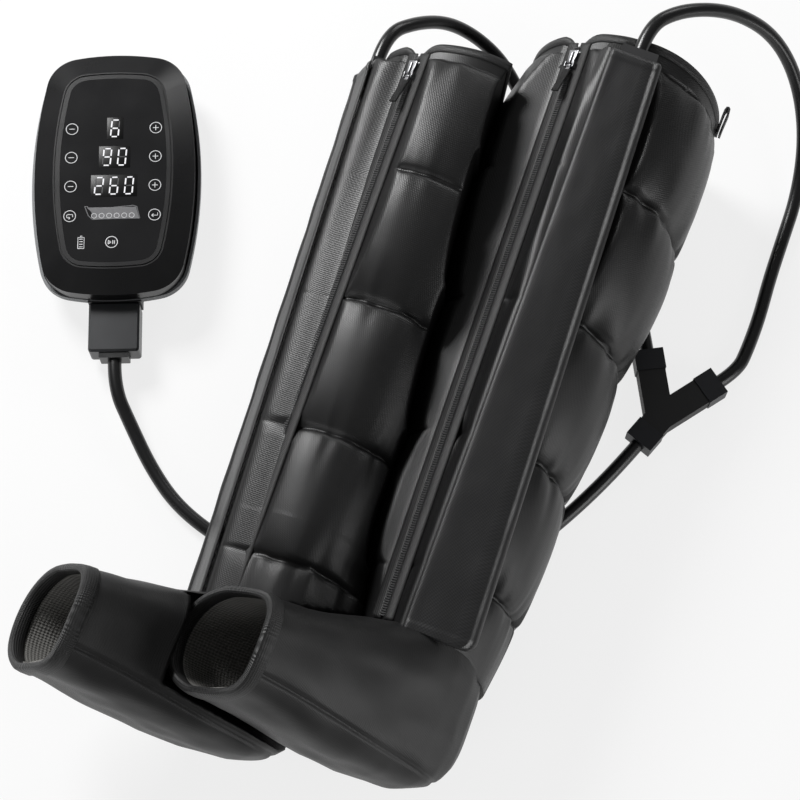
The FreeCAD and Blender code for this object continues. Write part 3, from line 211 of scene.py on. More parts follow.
def cloth(name, colour, rough, pitch=0.0027, depth=0.0005, lay="twill", use="UV", light=1.9, **more):
    """Coated woven cloth: slanted twill ribs crossed by a finer thread, over broad wear."""
    finish = Finish(name)
    if use == "UV":
        u, v, _ = finish.split(finish.place("UV"))
    else:
        x, y, z = finish.split(finish.place())
        across, along = x * 0.60 + z * 0.80, z * 0.60 - x * 0.80
        u, v = across + y * 0.6, along - y * 0.6
    k = 2 * math.pi / pitch
    if lay == "twill":
        ribs = ((u + v) * k).worked("SINE") * 0.5 + 0.5
        threads = ((u - v * 0.45) * (k * 1.1)).worked("SINE") * 0.5 + 0.5
    else:
        ribs = (u * k).worked("SINE") * 0.5 + 0.5
        threads = (v * k).worked("SINE") * 0.5 + 0.5
    weave = ribs * 0.62 + threads * 0.38
    where = finish.place()
    broad = finish.speckle(where, 9, 5, 0.6)
    fuzz = finish.speckle(where, 900, 2)
    amount = weave * 0.75 + (broad - 0.5) * 0.5 + (fuzz - 0.5) * 0.25
    lighter = [min(1, c * light) for c in colour]
    darker = [c * 0.62 for c in colour]
    height = weave + fuzz * 0.3
    return finish.done(
        Base_Color=finish.shade(darker, lighter, amount),
        Roughness=rough + (broad - 0.5) * 0.16 - weave * 0.06 + (fuzz - 0.5) * 0.08,
        Normal=finish.bump(height, depth), **more)


def metal(name, colour, rough):
    finish = Finish(name)
    where = finish.place(scale=(1, 14, 1))
    lines = finish.speckle(where, 900, 2)
    return finish.done(Base_Color=(*colour, 1), Metallic=1.0, Roughness=rough + (lines - 0.5) * 0.2,
                       Normal=finish.bump(lines, 0.00003))


def glow(name, colour, strength):
    """Lit segments; also printed signs and segments that are off, given a painted glow."""
    finish = Finish(name)
    where = finish.place()
    soft = finish.speckle(where, 700, 1)
    tint = finish.shade([c * 0.8 for c in colour], colour, soft)
    return finish.done(Base_Color=tint, Roughness=0.5, Emission_Color=tint, Emission_Strength=strength)


LEG = cloth("coated_leg_cloth", (0.0050, 0.0050, 0.0052), 0.44, pitch=0.0021, depth=0.00011, light=1.4)
FOOT = cloth("foot_twill", (0.0052, 0.0052, 0.0053), 0.52, pitch=0.0021, use="Object", depth=0.00010, light=1.4)
FLAP_CLOTH = cloth("flap_twill", (0.0135, 0.0135, 0.0140), 0.46, pitch=0.0022, depth=0.00014, light=1.8,
                   Sheen_Weight=0.04, Sheen_Roughness=0.4)
HEM = cloth("hem_cloth", (0.0052, 0.0052, 0.0054), 0.46, pitch=0.0016, depth=0.0002)
BINDING = cloth("binding_rib", (0.0070, 0.0070, 0.0072), 0.55, pitch=0.0022, lay="plain", depth=0.0005)
MESH = cloth("lining_mesh", (0.130, 0.127, 0.120), 0.8, pitch=0.0034, lay="plain", depth=0.0008)
LINING = cloth("plain_lining", (0.014, 0.014, 0.014), 0.75, pitch=0.0020, lay="plain", depth=0.0003)
TAPE = cloth("zip_tape", (0.0060, 0.0060, 0.0062), 0.55, pitch=0.0014, depth=0.0002)
WEBBING = cloth("webbing", (0.022, 0.022, 0.023), 0.55, pitch=0.0022, depth=0.0005)
PULL_CLOTH = cloth("pull_webbing", (0.0100, 0.0100, 0.0104), 0.5, pitch=0.0020, depth=0.0004)
TEETH = plastic("zip_teeth", (0.050, 0.050, 0.051), 0.30)
METAL = metal("slider_metal", (0.30, 0.30, 0.31), 0.36)
STEEL = metal("screw_steel", (0.55, 0.55, 0.57), 0.3)
HOSE_RUBBER = plastic("hose_rubber", (0.0070, 0.0070, 0.0074), 0.30, grain=0.00004)
TUBE_RUBBER = plastic("tube_rubber", (0.045, 0.045, 0.05), 0.35)
BEZEL = plastic("bezel_black", (0.0065, 0.0065, 0.0070), 0.30, grain=0.00003, spread=0.12,
                Specular_IOR_Level=0.3, Coat_Weight=0.25, Coat_Roughness=0.2)
PANEL = plastic("panel_black", (0.0090, 0.0090, 0.0096), 0.14, grain=0.00001, spread=0.1,
                Specular_IOR_Level=0.3, Coat_Weight=0.5, Coat_Roughness=0.08)
SHELL_GREY = plastic("shell_grey", (0.140, 0.145, 0.150), 0.42)
PLUG_GREY = plastic("plug_grey", (0.0170, 0.0180, 0.0200), 0.34, grain=0.00005)
SPLIT_BLACK = plastic("splitter_black", (0.0060, 0.0060, 0.0065), 0.62)
CAP_BLACK = plastic("splitter_cap_black", (0.0070, 0.0075, 0.0105), 0.5)
DARK = plastic("moulded_black", (0.02, 0.02, 0.021), 0.5)
PAD = plastic("pad_rubber", (0.025, 0.025, 0.026), 0.8)
GREEN = plastic("board_green", (0.02, 0.12, 0.06), 0.45)
BLUE = plastic("cell_wrap_blue", (0.02, 0.08, 0.25), 0.35)
WINDOW = plastic("display_window", (0.0010, 0.0010, 0.0011), 0.34, grain=0.000005, spread=0.1,
                 Specular_IOR_Level=0.2)
DIGIT = glow("display_digit", (0.62, 0.62, 0.64), 0.55)
# Segments that are off: a dark grey with a faint painted glow from emission.
OFF_SEGMENT_PAINTED_GLOW = glow("off_segment_painted_glow", (0.030, 0.030, 0.032), 0.1)
# Printed signs, bright and dim: the print's own grey plus a painted glow from emission.
INK_WITH_PAINTED_GLOW = glow("panel_ink_painted_glow", (0.52, 0.52, 0.53), 0.35)
DIM_INK_WITH_PAINTED_GLOW = glow("dim_panel_ink_painted_glow", (0.13, 0.13, 0.135), 0.1)


def make_floor():
    finish = Finish("studio_floor")
    path = finish.tree.nodes.new("ShaderNodeLightPath")
    seen = [Socket(finish, path.outputs[name]) for name in ("Is Camera Ray", "Is Glossy Ray", "Is Transmission Ray")]
    straight = (seen[0] + seen[1] + seen[2]).worked("MINIMUM", 1.0)
    where = finish.place()
    tint = finish.shade((0.80, 0.80, 0.80), (0.82, 0.82, 0.82), finish.speckle(where, 3, 3))
    matt = finish.node("ShaderNodeBsdfPrincipled", {"Base Color": tint, "Roughness": 0.9, "Specular IOR Level": 0.1})
    white = finish.node("ShaderNodeEmission", {"Color": (1, 1, 1, 1), "Strength": 1.0})
    finish.node_out(finish.node("ShaderNodeMixShader", {0: straight * 0.80, 1: matt, 2: white}))
    clear()
    bpy.ops.mesh.primitive_plane_add(size=14, location=(0.3, 0, -0.0006))
    floor = bpy.context.object
    floor.name = "studio_floor"
    floor.data.materials.append(finish.material)
    world = bpy.data.worlds.new("studio")
    bpy.context.scene.world = world
    world.use_nodes = True
    tree = world.node_tree
    tree.nodes.clear()
    path = tree.nodes.new("ShaderNodeLightPath")
    dim, bright = tree.nodes.new("ShaderNodeBackground"), tree.nodes.new("ShaderNodeBackground")
    for light, strength in ((dim, 0.14), (bright, 1.0)):
        light.inputs["Color"].default_value = (1, 1, 1, 1)
        light.inputs["Strength"].default_value = strength
    blend = tree.nodes.new("ShaderNodeMixShader")
    out = tree.nodes.new("ShaderNodeOutputWorld")
    for start, end in ((path.outputs["Is Camera Ray"], blend.inputs[0]), (dim.outputs[0], blend.inputs[1]),
                       (bright.outputs[0], blend.inputs[2]), (blend.outputs[0], out.inputs[0])):
        tree.links.new(start, end)


make_floor()


# ---------------------------------------------------------------- hoses
SPLIT = Vector((0.565, -0.046, 0.010))
ARMS = {"left": Vector((-0.455, 0.891, 0)), "right": Vector((0.608, 0.794, 0)), "trunk": Vector((-0.36, -0.933, 0))}


def split_exit(name, further=0.0):
    return SPLIT + ARMS[name].normalized() * ((0.030 if name == "trunk" else 0.066) + 0.002 + further)


def in_case(x, y, z):
    """A point of the controller's own frame, in metres, put in the row frame."""
    c, s = math.cos(CASE_TURN), math.sin(CASE_TURN)
    return Vector((x * c - y * s, x * s + y * c, z))


def mm(*places):
    return [Vector(place) / 1000 for place in places]


PLUG_EXIT = in_case(0, -0.1798, 0.022)
FRONT_EXIT, FRONT_WAY = Vector((0.44108, 0.22237, 0.18484)), Vector((0.00304, 0.99451, 0.10456))
REAR_EXIT, REAR_WAY = Vector((0.20824, 0.16273, 0.11634)), Vector((-0.05861, 0.99603, 0.06695))
ROUTES = {
    "main_hose": [PLUG_EXIT, in_case(0, -0.2068, 0.022)] + mm(
        (101, -220, 13.5), (132, -250, 7.6), (168, -276, 7.1), (214, -292, 7.1), (266, -299, 7.1),
        (318, -298, 7.1), (372, -289, 7.1), (421, -268, 7.1), (462, -236, 7.1), (494, -196, 7.1),
        (519, -153, 7.5)) + [split_exit("trunk", 0.033), split_exit("trunk")],
    "left_branch_hose": [split_exit("left"), split_exit("left", 0.024)] + mm(
        (508, 63, 7.5), (482, 92, 7.1), (443, 130, 7.1), (400, 166, 7.1), (360, 202, 7.1), (331, 231, 14),
        (307, 247, 32), (279, 252, 54), (251, 246, 77), (228, 225, 100)) + [
            REAR_EXIT + REAR_WAY * 0.032, REAR_EXIT],
    "right_branch_hose": [split_exit("right"), split_exit("right", 0.023)] + mm(
        (623, 52, 8.5), (624, 86, 7.1), (622, 126, 7.1), (622, 168, 7.1), (622, 213, 11.5), (614, 256, 29),
        (598, 288, 56), (575, 309, 88), (547, 317, 119), (515, 310, 147), (487, 294, 169),
        (460, 273, 183)) + [FRONT_EXIT + FRONT_WAY * 0.026, FRONT_EXIT],
}


def make_hose(name, route):
    curve = bpy.data.curves.new(f"{name}_skin", "CURVE")
    curve.dimensions = "3D"
    curve.resolution_u = 24
    curve.bevel_depth = HOSE / 2
    curve.bevel_resolution = 8
    curve.use_fill_caps = True
    spline = curve.splines.new("NURBS")
    spline.points.add(len(route) - 1)
    for point, place in zip(spline.points, route):
        point.co = (*place, 1)
    spline.order_u = 3
    spline.use_endpoint_u = True
    hose = bpy.data.objects.new(f"{name}_rubber", curve)
    bpy.context.scene.collection.objects.link(hose)
    curve.materials.append(HOSE_RUBBER)
    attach(hose, ROOT)
    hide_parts(name)
    return hose


for hose_name, hose_route in ROUTES.items():
    ends = {"main_hose": ("connector", ["splitter_body", "splitter_caps"]), "left_branch_hose": ("object", []),
            "right_branch_hose": ("object", [])}[hose_name]
    made_hose = make_hose(hose_name, hose_route)
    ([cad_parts[node] for node in ends[1]] + (
                [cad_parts["plug_body"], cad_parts["plug_collar"]] if hose_name == "main_hose" else []))


# ---------------------------------------------------------------- shape of the boots
def between(table, s):
    """Straight-line reading of a table of (place, value) rows."""
    if s <= table[0][0]:
        return table[0][1]
    for (s0, v0), (s1, v1) in zip(table, table[1:]):
        if s <= s1:
            return mix(v0, v1, (s - s0) / (s1 - s0))
    return table[-1][1]


def seam_radius(s):
    return between(GIRTH, s)


def axis_height(s):
    return seam_radius(max(WELDS[1], s)) - SUNK


def outward_way(degrees):
    turn = math.radians(degrees)
    return Vector((math.cos(turn), 0, math.sin(turn)))


def reach(side, s):
    """Place along a leg: the rear boot is pushed together a little towards its rim."""
    return s if side == "front" else RIM - (RIM - s) * REAR_GATHER


def strip_frame(side, low_angle, high_angle, low, high, offset=0.0):
    """A straight strip up the leg: x to the right, y towards the thigh, z off the leg; and its length."""
    out = outward_way((low_angle + high_angle) / 2)
    start = Vector((0, reach(side, STRIP[0]), axis_height(STRIP[0]))) + outward_way(low_angle) * low
    stop = Vector((0, reach(side, STRIP[1]), axis_height(STRIP[1]))) + outward_way(high_angle) * high
    y = (stop - start).normalized()
    z = (out - y * out.dot(y)).normalized()
    x = y.cross(z)
    facing = Matrix((x, y, z)).transposed().to_4x4()
    return Matrix.Translation(start + x * offset) @ facing, (stop - start).length


def strips(side):
    angle, hand = FLAPS[side]
    cover, long = strip_frame(side, angle, angle, *FLAP, -hand * FLAP_OFFSET)
    return {"zip": strip_frame(side, *ZIP), "bed": strip_frame(side, angle, angle, *BED),
            "flap": (cover @ Matrix.Translation((0, -FLAP_DROP, 0)), long)}


STRIPS = {side: strips(side) for side in BOOTS}
INVERSE = {side: {name: place.inverted() for name, (place, _) in STRIPS[side].items()} for side in BOOTS}
HOSE_LINES = [[(p.x, p.y) for p in ROUTES["main_hose"][4:14]],
              [(p.x, p.y) for p in ROUTES["left_branch_hose"][2:8]]]


def hose_rise(x, y):
    """How high cloth is held off the floor by a hose that runs under it."""
    near = 1.0
    for line in HOSE_LINES:
        for (ax, ay), (bx, by) in zip(line, line[1:]):
            dx, dy = bx - ax, by - ay
            t = min(1, max(0, ((x - ax) * dx + (y - ay) * dy) / (dx * dx + dy * dy)))
            near = min(near, math.hypot(x - ax - t * dx, y - ay - t * dy))
    return 0.0150 * (1 - ease(0.0085, 0.030, near))


def soft_floor(z, floor, round_over=0.010):
    """Cloth resting on something: it flattens, with a rounded turn-up at the edge of the contact."""
    over = z - floor
    if over > round_over:
        return z
    return floor + (max(0.0, over + round_over) ** 2 / (4 * round_over) if over > -round_over else 0)


def chamber(s):
    """Place within a chamber from 0 to 1, its number, and the distance to the nearest weld."""
    for number, (s0, s1) in enumerate(zip(WELDS, WELDS[1:])):
        if s <= s1:
            return min(1, max(0, (s - s0) / (s1 - s0))), number, min(abs(s - s0), abs(s1 - s))
    return 1.0, len(WELDS) - 2, s - WELDS[-1]


SWELL = (0.0070, 0.0120, 0.0130, 0.0140, 0.0120)


def leg_radius(side, s, degrees):
    """Radius of the blown-up leg at one place along it and round it."""
    phase = 11.0 if side == "front" else 37.0
    turn = math.radians(degrees)
    around = (math.cos(turn), math.sin(turn))
    part, number, near = chamber(s + 0.0035 * noise.noise((around[0] * 1.3 + phase, around[1] * 1.3, s * 2)))
    if s > WELDS[-1]:
        return seam_radius(s) - 0.0005
    hump = max(0.0, 1 - abs(2 * part - 1) ** 2.4) ** 0.6
    if side == "front":
        strong = mix(1.0, 0.34, ease(66, 84, degrees))
        strong = mix(strong, 0.12, ease(118, 150, degrees) * ease(205, 178, degrees))
    else:
        strong = mix(1.0, 0.60, ease(48, 82, degrees) * ease(150, 118, degrees))
        strong = mix(strong, 0.25, ease(118, 146, degrees) * ease(205, 185, degrees))
    swell = SWELL[number] * mix(hump, 0.85, 0.6 * (1 - strong)) * mix(0.7, 1, strong)
    radius = seam_radius(s) - 0.0035 * strong + swell
    pleat = noise.noise((around[0] * 4.4 + phase, around[1] * 4.4, s * 5 + number * 3))
    fine = noise.noise((around[0] * 9 + phase, around[1] * 9, s * 8 + 7))
    radius += (pleat * 0.0050 + fine * 0.0020) * math.exp(-near / 0.022) * (0.2 + 0.8 * strong)
    radius -= 0.0026 * math.exp(-(near / 0.0030) ** 2) * (0.25 + 0.75 * strong)
    if side == "front":
        around_left = ease(118, 140, degrees) * ease(205, 172, degrees)
        radius += 0.008 * around_left * ease(0.12, 0.20, s) * ease(0.66, 0.60, s)
    return radius + 0.0012 * noise.noise((around[0] * 1.7 + phase, around[1] * 1.7, s * 11))


def foot_frame(side, place):
    """A point of a boot's own frame as (across, height over the sole, along towards the toes)."""
    lift = FOOT_LIFT[side]
    x, z = place[0], place[2] - FOOT_LOW
    return (x * math.sin(lift) + z * math.cos(lift), place[1] - reach(side, 0),
            -x * math.cos(lift) + z * math.sin(lift))


def foot_point(side, across, height, along):
    lift = FOOT_LIFT[side]
    return Vector((across * math.sin(lift) - along * math.cos(lift), height + reach(side, 0),
                   FOOT_LOW + across * math.cos(lift) + along * math.sin(lift)))


FOOT_HALF = ((-0.050, 0.012), (-0.048, 0.027), (-0.042, 0.041), (-0.030, 0.053), (-0.012, 0.062), (0.010, 0.0655),
             (0.060, 0.0665), (0.130, 0.0655), (0.170, 0.0655), (0.210, 0.0665))
FOOT_TOP = ((-0.050, 0.082), (-0.048, 0.098), (-0.040, 0.116), (-0.025, 0.130), (0.0, 0.139), (0.030, 0.134),
            (0.062, 0.121), (0.110, 0.106), (0.160, 0.095), (0.210, 0.0880))
FOOT_SOLE = ((-0.050, 0.050), (-0.048, 0.034), (-0.040, 0.016), (-0.025, 0.002), (0.0, -0.007), (0.040, -0.012),
             (0.080, -0.013), (0.140, -0.009), (0.210, -0.0040))


def press_leg(place, grow, full):
    """Where the front boot's leg lies against the rear boot, the rear one is squeezed flat on that side."""
    local = place - BOOTS["front"]
    s = local.y
    if -0.03 < s < RIM + 0.02:
        dx, dz = local.x, local.z - axis_height(s)
        limit = leg_radius("front", min(s, RIM - 0.03), 180) + grow
        wall = limit if dz > 0 else math.sqrt(max(0.0, limit ** 2 - dz ** 2))
        room = BOOTS["front"].x - limit - BOOTS["rear"].x
        over = place.x - BOOTS["rear"].x
        if over > 0:
            over *= mix(1.0, max(room / full + 0.03, 0.93), ease(0.0, full, over))
            place = Vector((BOOTS["rear"].x + over, place.y, place.z))
        if place.x > BOOTS["front"].x - wall and dx < 0.02:
            place = Vector((BOOTS["front"].x - wall, place.y, place.z))
    return place


def push_out(place, grow):
    """The rear boot gives way where the front boot's foot lies on it."""
    across, height, along = foot_frame("front", place - BOOTS["front"])
    half = between(FOOT_HALF, along) + grow
    top, sole = between(FOOT_TOP, along) + grow, between(FOOT_SOLE, along) - grow
    if -0.05 < along < 0.215 and sole < height < top and -half < across < 0.03:
        middle = (top + sole) / 2
        belly = max(0.0, 1 - abs((height - middle) / (top - middle)) ** 4) ** 0.25
        if across > -half * belly:
            place = BOOTS["front"] + foot_point("front", -half * belly, height, along)
    return place


def tuck(local, side, name, half, slope, gap):
    """Hold cloth down below a strip's plane; beside the strip it rises again."""
    p = INVERSE[side][name] @ local
    limit = -gap + max(0.0, abs(p.x) - half) * slope
    if p.z > limit and abs(p.x) < half + 0.05:
        return local + STRIPS[side][name][0].to_3x3() @ Vector((0, 0, limit - p.z))
    return local


def leg_point(side, s, degrees, inward=0.0):
    """A point of the leg's cloth in the row frame; inward moves it into the wall."""
    hand = FLAPS[side][1]
    rim = RIM - 0.013 * math.exp(-((degrees - ZIP[1]) / 6.5) ** 2) - 0.002 * math.cos(math.radians(degrees * 3))
    s = s if s < 0.6 else mix(s, s * rim / RIM, ease(0.6, RIM, s))
    radius = leg_radius(side, s, degrees) - inward
    turn = math.radians(degrees)
    height = axis_height(s) + (SUNK if inward > 0.010 else 0)
    local = Vector((radius * math.cos(turn), reach(side, s) + RAKE * radius * math.sin(turn),
                    height + radius * math.sin(turn)))
    if inward < 0.010:
        local = tuck(local, side, "zip", 0.014, 0.55, 0.0006 + inward)
        local = tuck(local, side, "bed", 0.018, 0.75, 0.0006 + inward)
        place, long = STRIPS[side]["flap"]
        p = INVERSE[side]["flap"] @ local
        x, level = p.x * hand, -0.0012 - inward
        if p.z > level and -0.006 < x < 0.068:
            local = local + place.to_3x3() @ Vector((0, 0, level - p.z))
        elif -0.026 < x < 0.060 and -0.004 < p.y < long and -0.05 < p.z < level:
            sewn = ease(-0.012 if side == "front" else -0.024, -0.003, x) * ease(0.060, 0.010, x)
            local = local + place.to_3x3() @ Vector((0, 0, (level - p.z) * sewn))
    place = local + BOOTS[side]
    if side == "rear":
        full = leg_radius(side, s, 0.0) - inward + 0.0008
        place = push_out(press_leg(place, inward - 0.0006, full), 0.0012 + inward)
    floor = hose_rise(place.x, place.y) + 0.0003
    place.z = soft_floor(place.z, floor + inward, 0.006 if inward else 0.010)
    return place


# ---------------------------------------------------------------- meshes made of rows of points
def skin(name, rows, finishes, closed=False, spacing=0.003, paint=None, ring=True, caps=False):
    """Quads between rows of points; ring rows close on themselves. UVs are in metres along rows and columns."""
    width = len(rows[0])
    points = [place for row in rows for place in row]
    faces, uvs, travel = [], [], [0.0]
    last = len(rows) if closed else len(rows) - 1
    for row, after in zip(rows, rows[1:] + rows[:1]):
        travel.append(travel[-1] + (after[0] - row[0]).length)
    columns = width if ring else width - 1
    for r in range(last):
        for c in range(columns):
            a, b = r * width + c, r * width + (c + 1) % width
            d, e = ((r + 1) % len(rows)) * width + c, ((r + 1) % len(rows)) * width + (c + 1) % width
            faces.append((a, b, e, d))
            uvs += [(c * spacing, travel[r]), ((c + 1) * spacing, travel[r]), ((c + 1) * spacing, travel[r + 1]),
                    (c * spacing, travel[r + 1])]
    mesh = bpy.data.meshes.new(name)
    mesh.from_pydata([tuple(place) for place in points], [], faces)
    layer = mesh.uv_layers.new(name="UVMap")
    for loop, uv in zip(layer.data, uvs):
        loop.uv = uv
    piece = bpy.data.objects.new(name, mesh)
    bpy.context.scene.collection.objects.link(piece)
    for finish in finishes:
        mesh.materials.append(finish)
    if paint:
        for face in mesh.polygons:
            face.material_index = paint(face.index // columns, face.index % columns)
    edit = bmesh.new()
    edit.from_mesh(mesh)
    if caps:
        bmesh.ops.holes_fill(edit, edges=[edge for edge in edit.edges if edge.is_boundary], sides=0)
    bmesh.ops.recalc_face_normals(edit, faces=edit.faces)
    edit.to_mesh(mesh)
    edit.free()
    mesh.shade_smooth()
    return piece


def settle(piece, body, nodes=()):
    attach(piece, body)
    if nodes:
        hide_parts(*nodes)
    return piece


ROUND = 176
DEGREES = [n * 360 / ROUND for n in range(ROUND)]
LEG_FROM = 0.098


def make_leg(side):
    steps, s = [], LEG_FROM
    while s < RIM - 0.0045:
        steps.append(s)
        near = chamber(s)[2]
        s += 0.0034 if near > 0.02 else 0.0022 if near > 0.007 else 0.0013
    rows = [[leg_point(side, s, d) for d in DEGREES] for s in steps]
    rows.append([leg_point(side, RIM - 0.0045, d) for d in DEGREES])
    rows.append([leg_point(side, RIM - 0.0035, d, 0.0020) for d in DEGREES])
    rows.append([leg_point(side, RIM - 0.0045, d, 0.0040) for d in DEGREES])
    outer = len(rows) - 2
    rows.append([leg_point(side, WELDS[-1], d, 0.0046) for d in DEGREES])
    rows.append([leg_point(side, WELDS[-1] - 0.012, d, 0.0130) for d in DEGREES])
    for n in range(38):
        s = mix(WELDS[-1] - 0.022, LEG_FROM, n / 37)
        rows.append([inner_point(side, s, d) for d in DEGREES])
    piece = skin(f"{side}_leg_sleeve", rows, [LEG, LINING], closed=True, spacing=2 * math.pi * 0.084 / ROUND,
                 paint=lambda r, c: 0 if r < outer else 1)
    chambers = [f"{side}_{part}_chamber" for part in ("ankle", "calf", "knee", "thigh")]
    return settle(piece, ROOT, chambers)


def inner_point(side, s, degrees):
    """The lining of the leg's hollow."""
    radius = seam_radius(s) - 0.0195 + 0.0015 * math.sin(s * 90 + degrees * 0.1)
    turn = math.radians(degrees)
    place = BOOTS[side] + Vector((radius * math.cos(turn), reach(side, s) + RAKE * radius * math.sin(turn),
                                  axis_height(s) + SUNK + radius * math.sin(turn)))
    return push_out(press_leg(place, 0.0150, radius + 0.004), 0.0150) if side == "rear" else place


def make_hem(side):
    """The bound edge of the leg's wide end."""
    outline = ((0.0082, 0.0002), (0.0076, -0.0010), (0.0026, -0.0014), (-0.0002, -0.0011), (-0.0012, 0.0012),
               (-0.0002, 0.0038), (0.0036, 0.0048), (0.0078, 0.0048), (0.0082, 0.0030))
    rows = [[leg_point(side, RIM - 0.0030 - down, d, inward) for d in DEGREES] for down, inward in outline]
    piece = skin(f"{side}_rim_hem", rows, [HEM], closed=True, spacing=2 * math.pi * 0.09 / ROUND)
    return settle(piece, ROOT, [f"{side}_top_cuff"])


# ---------------------------------------------------------------- feet
FOOT_ROUND = 208
FOOT_TURNS = [n * 2 * math.pi / FOOT_ROUND for n in range(FOOT_ROUND)]


def foot_surface(side, along, turn, outward=0.0, seam=True):
    """A point on the foot's cloth; turn 0 faces up and right, 90 degrees the instep, 270 degrees the sole."""
    half, top, sole = between(FOOT_HALF, along), between(FOOT_TOP, along), between(FOOT_SOLE, along)
    middle, high = (top + sole) / 2, (top - sole) / 2
    c, s = math.cos(turn), math.sin(turn)
    power = 2 / mix(2.15, 4.0, ease(-0.4, 0.5, c))
    across = (half + outward) * math.copysign(abs(c) ** power, c)
    height = middle + (high + outward) * math.copysign(abs(s) ** power, s)
    phase = 3.0 if side == "front" else 19.0
    if outward > -0.003:
        soft = ease(0.0, 0.05, along + 0.05) * ease(0.218, 0.175, along)
        dent = 0.0034 * noise.noise((across * 20 + phase, height * 18, along * 13)) * soft
        dent += 0.0015 * noise.noise((across * 50 + phase, height * 45, along * 26)) * soft
        if seam:
            side_seam = height - mix(0.007, 0.021, ease(-0.03, 0.20, along))
            if across > 0.02:
                dent -= 0.0020 * math.exp(-(side_seam / 0.0016) ** 2)
            else:
                dent -= 0.0012 * math.exp(-((turn - math.radians(222)) / 0.018) ** 2)
        across += dent * c
        height += dent * s
    place = BOOTS[side] + foot_point(side, across, height, along)
    if side == "rear":
        place = push_out(place, 0.0012 - min(0.0, outward))
    place.z = max(place.z, 0.0004)
    return place


def toe_lining(side, along, turn):
    """The lining seen through the open end, with the soft sole's edge swelling up at the bottom."""
    away = (turn - math.radians(285) + math.pi) % (2 * math.pi) - math.pi
    lump = 0.015 * math.exp(-(away / 0.55) ** 2) * math.exp(-((along - 0.178) / 0.018) ** 2)
    return foot_surface(side, along, turn, -0.0043 - lump - 0.008 * ease(0.19, 0.05, along), seam=False)


def make_foot(side):
    places, along = [], -0.0500
    while along < TOE_END[side] - 0.004:
        places.append(along)
        along += 0.0008 if along < -0.046 else 0.002 if along < -0.02 else 0.0032
    rows = [[foot_surface(side, a, t) for t in FOOT_TURNS] for a in places]
    rows.append([foot_surface(side, TOE_END[side] - 0.004, t, -0.0005) for t in FOOT_TURNS])
    rows.append([foot_surface(side, TOE_END[side] - 0.004, t, -0.0040) for t in FOOT_TURNS])
    outer = len(rows) - 2
    inside = [TOE_END[side] - 0.005 - n * 0.004 for n in range(1, 60)]
    inside = [a for a in inside if a > -0.026]
    rows += [[toe_lining(side, a, t) for t in FOOT_TURNS] for a in inside]
    deep = outer + 24
    piece = skin(f"{side}_foot_sleeve", rows, [FOOT, MESH, LINING], spacing=0.002, caps=True,
                 paint=lambda r, c: 0 if r < outer else 1 if r < deep else 2)
    clear()
    heart = BOOTS[side] + Vector((-0.004, 0.118 + reach(side, 0), FOOT_LOW + 0.003))
    bpy.ops.mesh.primitive_cylinder_add(vertices=48, radius=0.043, depth=0.12, location=heart,
                                        rotation=(math.radians(90), 0, 0))
    well = bpy.context.object
    way_in = piece.modifiers.new("way_in", "BOOLEAN")
    way_in.object = well
    way_in.operation = "DIFFERENCE"
    way_in.solver = "MANIFOLD"
    clear()
    piece.select_set(True)
    bpy.context.view_layer.objects.active = piece
    bpy.ops.object.modifier_apply(modifier="way_in")
    bpy.data.objects.remove(well)
    return settle(piece, ROOT, [f"{side}_heel_chamber", f"{side}_toe_chamber"])


def make_binding(side):
    """The ribbed band that is folded over the edge of the toe opening."""
    outline = ((-0.0135, 0.0004), (-0.0126, 0.0013), (-0.0060, 0.0017), (-0.0012, 0.0014), (0.0004, 0.0003),
               (0.0008, -0.0022), (0.0002, -0.0044), (-0.0020, -0.0053), (-0.0070, -0.0057), (-0.0120, -0.0055),
               (-0.0126, -0.0048), (-0.0132, -0.0020))
    rows = []
    for ahead, outward in outline:
        rows.append([foot_surface(side, TOE_END[side] + ahead, t, outward, seam=False) for t in FOOT_TURNS])
    piece = skin(f"{side}_toe_band", rows, [BINDING], closed=True, spacing=0.002)
    return settle(piece, ROOT, [f"{side}_toe_binding"])


# ---------------------------------------------------------------- zips, covers and loops
def on_strip(side, name, x, y, z):
    return BOOTS[side] + STRIPS[side][name][0] @ Vector((x, y, z))


def make_zip_tape(side):
    place, long = STRIPS[side]["zip"]
    for hand, word in ((-1, "left"), (1, "right")):
        outline = [(hand * x, z) for x, z in ((0.0014, 0.0004), (0.0022, 0.0012), (0.0060, 0.0013), (0.0105, 0.0012),
                                              (0.0128, 0.0006), (0.0130, -0.0004), (0.0110, -0.0006),
                                              (0.0060, -0.0002), (0.0018, -0.0002))]
        steps = [n * long / 186 for n in range(187)]
        rows = [[on_strip(side, "zip", x, y, z + 0.00035 * noise.noise((x * 60, y * 18, 3.0))) for x, z in outline]
                for y in steps]
        tape = skin(f"{side}_zip_tape_{word}", rows, [TAPE], caps=True, spacing=0.002)
        settle(tape, ROOT, [f"{side}_zipper"])
    clear()
    bpy.ops.mesh.primitive_cylinder_add(vertices=8, radius=0.00095, depth=0.0060, location=(0, 0, 0),
                                        rotation=(0, math.radians(90), 0))
    teeth = bpy.context.object
    bpy.ops.object.mode_set(mode="EDIT")
    bpy.ops.mesh.select_all(action="SELECT")
    bpy.ops.mesh.bevel(offset=0.0003, segments=1, affect="EDGES")
    bpy.ops.object.mode_set(mode="OBJECT")
    bpy.ops.object.transform_apply(location=True, rotation=True, scale=True)
    teeth.name = f"{side}_zip_teeth"
    run = teeth.modifiers.new("run", "ARRAY")
    run.use_relative_offset = False
    run.use_constant_offset = True
    run.constant_offset_displace = (0, TOOTH_PITCH, 0)
    run.count = int((long - 0.006) / TOOTH_PITCH)
    bpy.ops.object.modifier_apply(modifier="run")
    teeth.data.transform(Matrix.Translation(BOOTS[side]) @ place @ Matrix.Translation((0, 0.003, 0.0013)))
    teeth.data.materials.append(TEETH)
    settle(teeth, ROOT, [f"{side}_zipper"])


